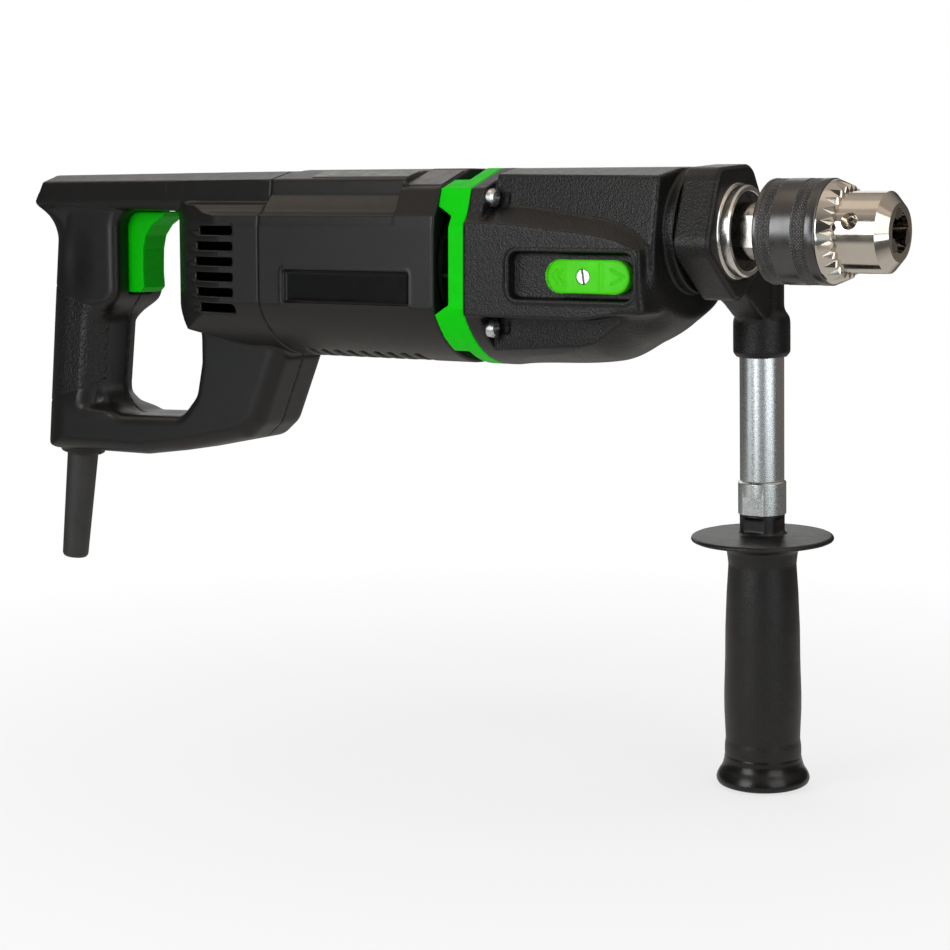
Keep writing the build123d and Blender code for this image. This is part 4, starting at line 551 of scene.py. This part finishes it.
def spine_shape(place, normal, side):
    """Draw the spine on the motor's cap in to the line of the bar behind it."""
    move = Vector((0, 0, 0))
    share = (MOTOR_BACK - place.x) / BAR_LENGTH
    half_width, flat, edge, top, drop = (start - loss * share for start, loss in SPINE_SIZES)
    if place.z > SPINE_FOOT[0]:
        lean = SPINE_LEAN * max(0.0, place.z - SPINE_LEAN_FROM)
        wall = SHELL_WALL if normal.y * side < INWARD else 0.0
        over = abs(place.y) - (half_width - lean) + wall
        if over > 0:
            move.y -= side * over * ramp(place.z, *SPINE_FOOT)
    fall = min(1.0, max(0.0, (abs(place.y) - flat) / (edge - flat)))
    wall = SHELL_WALL if normal.z < INWARD else 0.0
    over = place.z - (top - drop * fall) + wall
    if over > 0:
        move.z -= over
    return move


def hand_shape(place, normal):
    """Finish the grip behind, and the motor's cap with its vents ahead."""
    side = -1 if place.y < 0 else 1
    if place.x < GRIP_BEGINS:
        return grip_shape(place, normal, side)
    if place.x < CAP_BACK or place.x > MOTOR_BACK:
        return None
    move = spine_shape(place, normal, side)
    if normal.y * side > OUTWARD and place.x < MOTOR_BACK - VENT_FRONT:
        for row in range(VENT_ROWS):
            level = place.z - (VENT_TOP - row * VENT_PITCH)
            if abs(level) > 2 * VENT_WIDTH:
                continue
            rear = VENT_BACK - VENT_BOW * (2 * row / (VENT_ROWS - 1) - 1) ** 2
            past = MOTOR_BACK - rear - place.x
            if past > -VENT_LAP:
                move -= normal * VENT_DEPTH * (1 - ramp(past, *VENT_RUN_OUT)) * bell(level, VENT_WIDTH)
    return move


for side in ("right", "left"):
    node = f"handle_shell_{side}"
    half = push(soften(node, f"handle_{side}", voxel=0.75, passes=5), hand_shape)
    settle(half, "housing", "black_plastic", node, extra=("leather_grain",))
    for face in half.data.polygons:
        centre = face.center / MM
        on_grip = centre.x < GRIP_BEGINS and abs(centre.y) > PATCH_FROM_MIDDLE
        if on_grip and patch_distance(centre) < -PATCH_INSET:
            face.material_index = 1

# Motor housing with its bare name recesses, whose floors are glossy and darkened with painted shade, and air
# ring
HOUSING_SIDE = 39.0
HOUSING_OUTWARD = 0.3
NAME_CORNER = 1.5
NAME_INSET = 0.4
NAME_FLOOR = (38.5, 41.0)
NAME_RIM = 0.3
NAME_RIM_FROM = 0.9
NAME_RIM_WIDTH = 0.7


def name_rim(place, normal):
    """Fine raised rim round each bare name recess."""
    side = -1 if place.y < 0 else 1
    if abs(place.y) < HOUSING_SIDE or normal.y * side < HOUSING_OUTWARD:
        return None
    away = frame_distance(place.x, place.z, NAME_RECESS, NAME_CORNER)
    return Vector((0, side * NAME_RIM * bell(away - NAME_RIM_FROM, NAME_RIM_WIDTH), 0))


motor_case = push(soften("motor_housing", "motor_case", voxel=0.7, passes=4), name_rim)
settle(motor_case, "housing", "black_plastic", "motor_housing", extra=("gloss_black_painted_shade",))
# The recess floors take the glossy black that is darkened with painted shade
for face in motor_case.data.polygons:
    centre = face.center / MM
    on_floor = NAME_FLOOR[0] < abs(centre.y) < NAME_FLOOR[1]
    if on_floor and frame_distance(centre.x, centre.z, NAME_RECESS, NAME_CORNER) < -NAME_INSET:
        face.material_index = 1
ring = soften("air_ring", "green_ring", voxel=0.5, passes=5)
settle(ring, "housing", "green_plastic", "air_ring")

# Gear housing, with ranges over which its belly, front edge and chin set in
BELLY_RISE = 3.4
BELLY_FROM = (-134, -117)
BELLY_DEPTH = (30, 46)
RECESS_CORNER = 5.0
RECESS_CLEAR = (2.5, 5.5)
RECESS_SIDE = -25
BEAD = 0.7
BEAD_FROM = 1.1
BEAD_WIDTH = 0.9
BEAD_SIDE = -30
BEAD_FACING = -0.35
FRONT_FROM = (-120, -110)
FRONT_AWAY = (29.0, 32.0)
CHIN_DEPTH = (14, 26)
FRONT_PASSES = 30
CHIN_PASSES = 150


def case_shape(place, normal):
    """Draw the belly up toward the front, and raise a bead round the selector's recess."""
    move = Vector((0, 0, 0))
    move.z += BELLY_RISE * ramp(place.x, *BELLY_FROM) * ramp(-place.z, *BELLY_DEPTH)
    if normal.y < BEAD_FACING and place.y < BEAD_SIDE:
        away = frame_distance(place.x, place.z, RECESS, RECESS_CORNER)
        move.y -= BEAD * bell(away - BEAD_FROM, BEAD_WIDTH)
    return move


def case_front(place):
    """How far a point belongs to the rounded front edge of the gear case."""
    share = ramp(place.x, *FRONT_FROM) * ramp(hypot(place.y, place.z), *FRONT_AWAY)
    if place.y < RECESS_SIDE:
        share *= ramp(frame_distance(place.x, place.z, RECESS, RECESS_CORNER), *RECESS_CLEAR)
    return share


def case_chin(place):
    """How far a point belongs to the rounder chin of the gear case, below the collar."""
    return case_front(place) * ramp(-place.z, *CHIN_DEPTH)


def drop_faces(piece, unwanted):
    """Take faces out of a piece where another piece stands in their place."""
    trimmed = bmesh.new()
    trimmed.from_mesh(piece.data)
    gone = [face for face in trimmed.faces if unwanted(face.calc_center_median() / MM)]
    bmesh.ops.delete(trimmed, geom=gone, context="FACES")
    trimmed.to_mesh(piece.data)
    trimmed.free()


rounder = ((case_front, FRONT_PASSES), (case_chin, CHIN_PASSES))
gear_case = push(soften("gear_housing", "gear_case", voxel=0.65, passes=4, zones=rounder), case_shape)
drop_faces(gear_case, lambda place: place.x > NECK_BACK and hypot(place.y, place.z) < NECK_RADIUS)
settle(gear_case, "housing", "black_casting", "gear_housing")

# Machined neck, turned clean where the collar clamps
NECK_OVERLAP = 4.0
STEP_CHAMFER = 0.4
RIM_CHAMFER = 0.8
BORE_CHAMFER = 0.3
NECK_SEGMENTS = 192
neck_back = NECK_BACK - NECK_OVERLAP
neck_step = NECK_STEP - neck_back
neck_front = NECK_FRONT - neck_back
neck_outline = [(0.0, NECK_BORE), (0.0, NECK_OUTER),
                (neck_step - STEP_CHAMFER, NECK_OUTER), (neck_step, NECK_OUTER - STEP_CHAMFER),
                (neck_step, NECK_RIM), (neck_front - RIM_CHAMFER, NECK_RIM),
                (neck_front, NECK_RIM - RIM_CHAMFER), (neck_front, NECK_BORE + BORE_CHAMFER),
                (neck_front - BORE_CHAMFER, NECK_BORE)]
neck = lathe("machined_neck", neck_outline, Vector((neck_back, 0, 0)), Vector((1, 0, 0)), NECK_SEGMENTS)
settle(neck, "housing", "bare_aluminium", "gear_housing")

# Trigger and speed selector
TRIGGER_RAISE = 1.2
TRIGGER_TOP = (0.0, 5.0)


def trigger_shape(place, normal):
    """Raise the top of the trigger."""
    return Vector((0, 0, TRIGGER_RAISE * ramp(place.z, *TRIGGER_TOP)))


trigger = push(soften("trigger", "trigger_lever", voxel=0.4, passes=10), trigger_shape)
settle(trigger, "trigger", "dark_green_plastic", "trigger")

# Knob: drop and length of its rear and front slopes, and place, height and width of its ridge
KNOB_REAR = (2.2, 12.0)
KNOB_FRONT = (1.5, 14.0)
KNOB_RIDGE = (29.5, 0.55, 1.0)
KNOB_TOP = 3.2
ARROW_WIDTH = 0.5
ARROW_DEPTH = 0.75
knob_low, knob_high = (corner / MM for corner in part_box("selector_knob"))
knob_z = (knob_low.z + knob_high.z) / 2
knob_left = knob_low.x
knob_right = knob_high.x

# Arrows on the knob: X of the two ends, X of the point, and half the width
ARROW_SIZES = ((knob_left + 6.2, knob_left + 2.6, 3.0), (knob_left + 9.4, knob_left + 5.8, 3.0),
               (knob_right - 8.6, knob_right - 2.6, 3.2))
ARROWS = [[(end, knob_z + half), (point, knob_z), (end, knob_z - half)] for end, point, half in ARROW_SIZES]


def groove(place, line, width, depth):
    """Depth of a groove along a broken line in the X-Z plane."""
    best = float("inf")
    for (x1, z1), (x2, z2) in zip(line, line[1:]):
        run = Vector((x2 - x1, z2 - z1))
        share = ((place.x - x1) * run.x + (place.z - z1) * run.y) / run.length_squared
        share = min(1.0, max(0.0, share))
        best = min(best, hypot(place.x - x1 - share * run.x, place.z - z1 - share * run.y))
    return depth * bell(best, width)


def knob_shape(place, normal):
    """Slope the knob's rear third and front third, leave a ridge between, and cut the arrows."""
    if normal.y > -SIDEWAYS or place.y > knob_low.y + KNOB_TOP:
        return None
    rear_drop, rear_length = KNOB_REAR
    front_drop, front_length = KNOB_FRONT
    ridge_at, ridge_height, ridge_width = KNOB_RIDGE
    from_ridge = place.x - (knob_left + ridge_at)
    drop = rear_drop * max(0.0, 1 - (place.x - knob_left) / rear_length)
    drop += front_drop * ramp(from_ridge, 0, front_length)
    ridge = ridge_height * bell(from_ridge, ridge_width)
    cut = max(groove(place, line, ARROW_WIDTH, ARROW_DEPTH) for line in ARROWS)
    return Vector((0, drop + cut - ridge, 0))


knob = push(soften("selector_knob", "selector_button", voxel=0.3, passes=6), knob_shape)
settle(knob, "selector", "lime_plastic", "selector_knob")

# Clamp collar, with ranges over which its lug sets in and ends
LUG_SIDE = (12, 18)
LUG_TOP = (20, 28)
LUG_FOOT = (41, 44)
LUG_PASSES = 80


def lug_zone(place):
    """How far a point belongs to the lug between the collar and the cup, which is cast round."""
    return ramp(place.y, *LUG_SIDE) * ramp(-place.z, *LUG_TOP) * (1 - ramp(-place.z, *LUG_FOOT))


clamp_ring = soften("clamp_collar", "clamp_ring", voxel=0.5, passes=6, zones=((lug_zone, LUG_PASSES),))
settle(clamp_ring, "clamp_collar", "black_casting", "clamp_collar")

# Side handle: zinc tube and ferrule
tube = bevelled("side_handle_tube", "zinc_tube", width=0.35)
settle(tube, "side_handle", "zinc_steel", "side_handle_tube")
ferrule = bevelled("side_handle_ferrule", "zinc_ferrule", width=0.3)
settle(ferrule, "side_handle", "zinc_steel", "side_handle_ferrule")

# Side grip: height of its ring line, and heights over which the straight part sets in and ends
SIDE_GRIP_RING = -247.6
RING_DEPTH = 0.16
RING_WIDTH = 0.7
STRAIGHT_PUSH = 0.65
STRAIGHT_TOP = (-221, -200)
STRAIGHT_FOOT = (-248.5, -242)
WAIST_PULL = 0.5
WAIST_BELOW = 5.2
WAIST_WIDTH = 2.6


def side_grip_shape(place, normal):
    """Keep the grip straight down to a fine ring line, then flare it out quickly to its foot."""
    straight = STRAIGHT_PUSH * (1 - ramp(place.z, *STRAIGHT_TOP)) * ramp(place.z, *STRAIGHT_FOOT)
    waist = WAIST_PULL * bell(place.z - SIDE_GRIP_RING + WAIST_BELOW, WAIST_WIDTH)
    line = RING_DEPTH * bell(place.z - SIDE_GRIP_RING, RING_WIDTH)
    return normal * (straight - waist - line)


side_grip = push(soften("side_handle_grip", "side_grip", voxel=0.5, passes=9), side_grip_shape)
settle(side_grip, "side_handle", "grip_plastic", "side_handle_grip", extra=("grip_foot",))
for face in side_grip.data.polygons:
    if face.center.z / MM < SIDE_GRIP_RING:
        face.material_index = 1

# Cable sleeve
boot = soften("cable_sleeve", "cable_boot", voxel=0.4, passes=6)
settle(boot, "housing", "black_rubber", "cable_sleeve")

# Chuck sleeve: its ends as distance and radius, and the finely divided length between with its step
SLEEVE_FRONT_END = ((0.0, 21.4), (0.0, 22.7), (0.25, 23.0), (0.6, SLEEVE_RADIUS))
SLEEVE_BACK_END = ((1.2, SLEEVE_RADIUS), (0.3, 22.3), (0.0, 21.6), (0.0, 17.75), (3.0, 17.75), (3.0, 21.4))
SLEEVE_FINE = (3.9, 27.7, 0.18)
SLEEVE_SEGMENTS = 696
KNURL_BANDS = ((-34.0, -40.7), (-50.2, -57.0))
KNURL_PITCH = 1.5
KNURL_DEPTH = 0.5
KNURL_FADE = 0.5


def knurl(distance, angle, radius):
    """Diamond knurl cut into two bands of the sleeve."""
    place = SLEEVE_FRONT - distance
    depth = 0.0
    for front, back in KNURL_BANDS:
        if back < place < front:
            fade = ramp(place, back, back + KNURL_FADE) * (1 - ramp(place, front - KNURL_FADE, front))
            turn = angle * SLEEVE_RADIUS
            rise = abs(((turn + place) / KNURL_PITCH) % 1.0 - 0.5) * 2
            fall = abs(((turn - place) / KNURL_PITCH) % 1.0 - 0.5) * 2
            depth = KNURL_DEPTH * fade * (1 - min(rise, fall))
    return radius - depth


def sleeve_outline():
    """Outline of the sleeve, divided finely enough to carry the knurl."""
    length = SLEEVE_FRONT - SLEEVE_BACK
    outline = list(SLEEVE_FRONT_END)
    place, last, step = SLEEVE_FINE
    outline.append((place, SLEEVE_RADIUS))
    while place < last:
        place += step
        outline.append((place, SLEEVE_RADIUS))
    outline += [(length - inside, radius) for inside, radius in SLEEVE_BACK_END]
    return outline


chuck_sleeve = lathe("knurled_sleeve", sleeve_outline(), Vector((SLEEVE_FRONT, 0, 0)), Vector((-1, 0, 0)),
                     SLEEVE_SEGMENTS, radial=knurl)
settle(chuck_sleeve, "chuck_sleeve", "blackened_steel", "chuck_sleeve")

# Chuck crown, whose teeth the key meshes with
CROWN_TEETH = 26
CROWN_LENGTH = 7.0
CROWN_INNER = 17.72
CROWN_RADIUS = 22.6
CROWN_TIP = 20.2
CROWN_RIM = 0.9
CROWN_BED_START = 2.2
CROWN_CHAMFER = 0.3
CROWN_LAP = 0.02
VALLEY_CLEAR = 0.03
VALLEY_HALF = 0.42
VALLEY_LEAST = 0.004
CROWN_PLACES = (0.0, 0.3, 0.9, 1.5, 2.2, 2.7, 3.2, 3.8, 4.4, 5.0, 5.6, 6.2, 6.7, 7.0)


def crown_ring(place):
    """One ring of the crown: for each tooth a V between two flanks, then the land."""
    tip = CROWN_RADIUS - (CROWN_RADIUS - CROWN_TIP) * max(0.0, place - CROWN_RIM) / (CROWN_LENGTH - CROWN_RIM)
    if place in (CROWN_PLACES[0], CROWN_PLACES[-1]):
        tip -= CROWN_CHAMFER
    cut = max(0.0, place - CROWN_BED_START) / (CROWN_LENGTH - CROWN_BED_START)
    bed = tip - (CROWN_TIP - CROWN_INNER - VALLEY_CLEAR) * cut
    half = max(VALLEY_LEAST, VALLEY_HALF * cut)
    land = (1 - 2 * half) / 3
    flank = (tip + bed) / 2
    marks = [(-half, tip), (-half / 2, flank), (0.0, bed), (half / 2, flank), (half, tip),
             (half + land, tip), (half + 2 * land, tip)]
    ring = []
    for tooth in range(CROWN_TEETH):
        for mark, radius in marks:
            angle = 2 * pi * (tooth + mark) / CROWN_TEETH
            ring.append((place, max(CROWN_INNER, radius), angle))
    return ring


def toothed_crown():
    """The crown as a stack of rings, closed along its bore."""
    rings = [crown_ring(place) for place in CROWN_PLACES]
    count = len(rings[0])
    for place in (CROWN_LENGTH, 0.0):
        rings.append([(place, CROWN_INNER - CROWN_LAP, angle) for _, _, angle in rings[0]])
    points = []
    faces = []
    for ring in rings:
        for place, radius, angle in ring:
            points.append(Vector((SLEEVE_FRONT + place, radius * cos(angle), radius * sin(angle))) * MM)
    for ring in range(len(rings)):
        following = (ring + 1) % len(rings)
        for step in range(count):
            after = (step + 1) % count
            faces.append((ring * count + step, ring * count + after, following * count + after,
                          following * count + step))
    return solid("key_crown", points, faces, CROWN_SHARP)


settle(toothed_crown(), "chuck_sleeve", "polished_steel", "chuck_crown")

# Chuck body, with its mouth and key holes
MOUTH_RADIUS = 8.8
MOUTH_DEPTH = 3.0
MOUTH_SLOPE = 0.5
KEY_HOLE_X = -16.1
KEY_HOLE_ANGLES = (44.0, 164.0, 284.0)
KEY_HOLE_RIM = 4.0
KEY_HOLE_SHELL = 15.5
KEY_HOLE_FLARE = 0.15


def nose_shape(place, normal):
    """Open the chuck's mouth so that the jaws stand clear in it, and flare the key holes."""
    reach = hypot(place.y, place.z)
    wider = MOUTH_RADIUS + MOUTH_SLOPE * place.x
    if place.x > -MOUTH_DEPTH and reach < wider:
        return Vector((0, place.y, place.z)) * (wider / reach - 1)
    if reach > KEY_HOLE_SHELL:
        for angle in KEY_HOLE_ANGLES:
            axis = Vector((0, cos(radians(angle)), sin(radians(angle))))
            aside = place - Vector((KEY_HOLE_X, 0, 0)) - axis * place.dot(axis)
            if aside.length < KEY_HOLE_RIM and place.dot(axis) > 0:
                return aside * KEY_HOLE_FLARE
    return None


chuck_nose = bevelled("chuck_body", "chuck_nose", width=0.4, angle=25, segments=3)
chuck_nose = turned(push(chuck_nose, nose_shape))
settle(chuck_nose, "spindle", "polished_steel", "chuck_body")

# Studio sky: white to the camera, an even light, and what polished and satin surfaces mirror
EVEN_LIGHT = 0.55
SKY_LOW = (0.055, 0.054, 0.053)
SKY_HIGH = (0.46, 0.41, 0.36)
SKY_RISE = (0.3, 0.85)

# Overhead panel and thin strip: low, high and soft edge along Y or Z of the direction
OVERHEAD_GLOW = (1.25, 1.06, 0.88)
OVERHEAD_Y = (-0.3, 0.12, 0.05)
OVERHEAD_RISE = (0.5, 0.6)
OVERHEAD_AHEAD = 0.35
OVERHEAD_FADE = (-0.58, -0.42)
STRIP_GLOW = (0.75, 0.6, 0.48)
STRIP_Y = (-0.56, -0.49, 0.02)
STRIP_Z = (0.6, 0.72, 0.04)

# Floor: shadows fade out from its middle, and its mirrored glow falls off over a range of distance
FLOOR_MIDDLE = (-0.2, 0.03)
FLOOR_COLOUR = (0.86, 0.86, 0.86, 1)
FLOOR_LEAST_WHITE = 0.7
FLOOR_WHITE_RANGE = (0.1, 0.6)
FLOOR_GLOW_NEAR = (0.52, 0.495, 0.46)
FLOOR_GLOW_FAR = (0.12, 0.115, 0.11)
FLOOR_GLOW_RANGE = (0.42, 0.65)
FLOOR_GAP = 0.0004
FLOOR_REACH = 60.0

# Reflectors on the floor, only seen mirrored: heading, near and far end, low and high side, and colour
REFLECTOR_FADE = 0.08
REFLECTORS = ((-75.0, 0.9, 3.5, -0.4, 0.4, (0.5, 0.55, 0.56)),
              (-102.0, 0.95, 3.5, -0.05, 0.35, (2.5, 2.65, 2.7)),
              (-130.0, 0.95, 3.5, -0.35, 0.1, (1.0, 1.06, 1.08)),
              (-25.0, 0.98, 3.5, -0.55, 0.55, (2.2, 2.35, 2.4)),
              (64.0, 1.0, 40.0, -2.0, 2.0, (0.15, 0.13, 0.11)))

# Soft boxes: name, place, width, height and watts, all aimed at the middle of the tool
LIGHTS = (("front", (-0.54, -1.25, 0.27), 0.65, 0.76, 5.6),
          ("right", (0.91, -0.465, 0.30), 0.8, 0.7, 2.6),
          ("rear", (-1.15, 1.08, 0.47), 1.4, 0.9, 3.5))
LIGHTS_AIM = Vector((-0.24, 0.0, -0.03))


def times(graph, first, second):
    """Product of two values."""
    product = graph.nodes.new("ShaderNodeMath")
    product.operation = "MULTIPLY"
    graph.links.new(first, product.inputs[0])
    graph.links.new(second, product.inputs[1])
    return product.outputs["Value"]


def within(graph, value, low, high, soft):
    """1 where a value lies between low and high, fading to 0 over soft."""
    return times(graph, spread(graph, value, 0.0, 1.0, low - soft, low),
                 spread(graph, value, 1.0, 0.0, high, high + soft))


def mirrored_sky(graph):
    """Colour of the sky as surfaces mirror it: a rise of grey, a panel overhead and a thin strip."""
    place = graph.nodes.new("ShaderNodeTexCoord").outputs["Generated"]
    split = graph.nodes.new("ShaderNodeSeparateXYZ")
    graph.links.new(place, split.inputs["Vector"])
    x, y, z = (split.outputs[axis] for axis in "XYZ")
    shade = mix_colour(graph, spread(graph, z, 0.0, 1.0, *SKY_RISE), SKY_LOW, SKY_HIGH)
    overhead = within(graph, y, *OVERHEAD_Y)
    overhead = times(graph, overhead, spread(graph, z, 0.0, 1.0, *OVERHEAD_RISE))
    overhead = times(graph, overhead, spread(graph, x, 1.0, OVERHEAD_AHEAD, *OVERHEAD_FADE))
    shade = mix_colour(graph, overhead, shade, OVERHEAD_GLOW)
    strip = times(graph, within(graph, y, *STRIP_Y), within(graph, z, *STRIP_Z))
    return mix_colour(graph, strip, shade, STRIP_GLOW)


def studio_world():
    """White for the camera, even light for matte surfaces, and the mirrored sky for the rest."""
    world = bpy.data.worlds.new("studio")
    scene.world = world
    world.use_nodes = True
    graph = world.node_tree
    graph.nodes.clear()
    output = graph.nodes.new("ShaderNodeOutputWorld")
    seen = graph.nodes.new("ShaderNodeBackground")
    seen.inputs["Color"].default_value = (1, 1, 1, 1)
    seen.inputs["Strength"].default_value = 1.0
    mirrored = graph.nodes.new("ShaderNodeBackground")
    mirrored.inputs["Strength"].default_value = 1.0
    soft = graph.nodes.new("ShaderNodeBackground")
    soft.inputs["Color"].default_value = (1, 1, 1, 1)
    soft.inputs["Strength"].default_value = EVEN_LIGHT
    graph.links.new(mirrored_sky(graph), mirrored.inputs["Color"])
    path = graph.nodes.new("ShaderNodeLightPath")
    sharp = graph.nodes.new("ShaderNodeMath")
    sharp.operation = "MAXIMUM"
    graph.links.new(path.outputs["Is Glossy Ray"], sharp.inputs[0])
    graph.links.new(path.outputs["Is Transmission Ray"], sharp.inputs[1])
    rays = graph.nodes.new("ShaderNodeMixShader")
    graph.links.new(sharp.outputs["Value"], rays.inputs["Fac"])
    graph.links.new(soft.outputs["Background"], rays.inputs[1])
    graph.links.new(mirrored.outputs["Background"], rays.inputs[2])
    final = graph.nodes.new("ShaderNodeMixShader")
    graph.links.new(path.outputs["Is Camera Ray"], final.inputs["Fac"])
    graph.links.new(rays.outputs["Shader"], final.inputs[1])
    graph.links.new(seen.outputs["Background"], final.inputs[2])
    graph.links.new(final.outputs["Shader"], output.inputs["Surface"])


def floor_patch(graph, place, heading, near, far, low, high):
    """1 on a rectangle of floor along a heading, fading at its edges."""
    turn = radians(heading)
    along = (cos(turn), sin(turn), 0)
    aside = (-sin(turn), cos(turn), 0)
    marks = []
    for line, begin, end in ((along, near, far), (aside, low, high)):
        reach = graph.nodes.new("ShaderNodeVectorMath")
        reach.operation = "DOT_PRODUCT"
        reach.inputs[1].default_value = line
        graph.links.new(place, reach.inputs[0])
        marks.append(within(graph, reach.outputs["Value"], begin, end, REFLECTOR_FADE))
    return times(graph, *marks)


def floor_finish():
    """Matte floor that turns white away from the tool, and glows with reflectors where it is mirrored."""
    material = bpy.data.materials.new("pale_floor")
    material.use_nodes = True
    graph = material.node_tree
    graph.nodes.clear()
    output = graph.nodes.new("ShaderNodeOutputMaterial")
    matte = graph.nodes.new("ShaderNodeBsdfDiffuse")
    matte.inputs["Color"].default_value = FLOOR_COLOUR
    white = graph.nodes.new("ShaderNodeEmission")
    white.inputs["Color"].default_value = (1, 1, 1, 1)
    white.inputs["Strength"].default_value = 1.0
    path = graph.nodes.new("ShaderNodeLightPath")
    place = graph.nodes.new("ShaderNodeTexCoord").outputs["Object"]
    apart = graph.nodes.new("ShaderNodeVectorMath")
    apart.operation = "DISTANCE"
    apart.inputs[1].default_value = (*FLOOR_MIDDLE, cad_box[0].z)
    graph.links.new(place, apart.inputs[0])
    whiter = spread(graph, apart.outputs["Value"], FLOOR_LEAST_WHITE, 1.0, *FLOOR_WHITE_RANGE)
    share = times(graph, path.outputs["Is Camera Ray"], whiter)
    mix = graph.nodes.new("ShaderNodeMixShader")
    graph.links.new(share, mix.inputs["Fac"])
    graph.links.new(matte.outputs["BSDF"], mix.inputs[1])
    graph.links.new(white.outputs["Emission"], mix.inputs[2])
    warm = graph.nodes.new("ShaderNodeEmission")
    far = spread(graph, apart.outputs["Value"], 0.0, 1.0, *FLOOR_GLOW_RANGE)
    shade = mix_colour(graph, far, FLOOR_GLOW_NEAR, FLOOR_GLOW_FAR)
    for *patch, glow in REFLECTORS:
        shade = mix_colour(graph, floor_patch(graph, place, *patch), shade, glow)
    graph.links.new(shade, warm.inputs["Color"])
    mirrored = graph.nodes.new("ShaderNodeMixShader")
    graph.links.new(path.outputs["Is Glossy Ray"], mirrored.inputs["Fac"])
    graph.links.new(mix.outputs["Shader"], mirrored.inputs[1])
    graph.links.new(warm.outputs["Emission"], mirrored.inputs[2])
    graph.links.new(mirrored.outputs["Shader"], output.inputs["Surface"])
    return material


def pale_floor():
    """One wide sheet just below the tool."""
    mesh = bpy.data.meshes.new("floor")
    level = cad_box[0].z - FLOOR_GAP
    corners = [(-1, -1), (1, -1), (1, 1), (-1, 1)]
    mesh.from_pydata([(x * FLOOR_REACH, y * FLOOR_REACH, level) for x, y in corners], [], [(0, 1, 2, 3)])
    ground = link_piece("floor", mesh)
    mesh.materials.append(floor_finish())


def softbox(name, place, width, height, power):
    """Rectangular lamp aimed at the tool."""
    lamp = bpy.data.lights.new(name, "AREA")
    lamp.shape = "RECTANGLE"
    lamp.size = width
    lamp.size_y = height
    lamp.energy = power
    holder = bpy.data.objects.new(name, lamp)
    scene.collection.objects.link(holder)
    aim = LIGHTS_AIM - Vector(place)
    holder.location = place
    holder.rotation_euler = aim.to_track_quat("-Z", "Y").to_euler()


studio_world()
pale_floor()
for light in LIGHTS:
    softbox(*light)

# Camera and view
camera = bpy.data.cameras.new("camera")
camera.lens = LENS
camera.sensor_width = SENSOR
camera.sensor_fit = "HORIZONTAL"
camera.clip_start = 0.01
viewpoint = bpy.data.objects.new("camera", camera)
scene.collection.objects.link(viewpoint)
level = cos(CAMERA_PITCH)
ahead = Vector((-sin(CAMERA_TURN) * level, cos(CAMERA_TURN) * level, -sin(CAMERA_PITCH)))
across = Vector((cos(CAMERA_TURN), sin(CAMERA_TURN), 0))
upward = across.cross(ahead)
viewpoint.matrix_world = Matrix((
    (across.x, upward.x, -ahead.x, CAMERA_AT[0]), (across.y, upward.y, -ahead.y, CAMERA_AT[1]),
    (across.z, upward.z, -ahead.z, CAMERA_AT[2]), (0, 0, 0, 1)))
scene.camera = viewpoint
scene.view_settings.view_transform = "Standard"
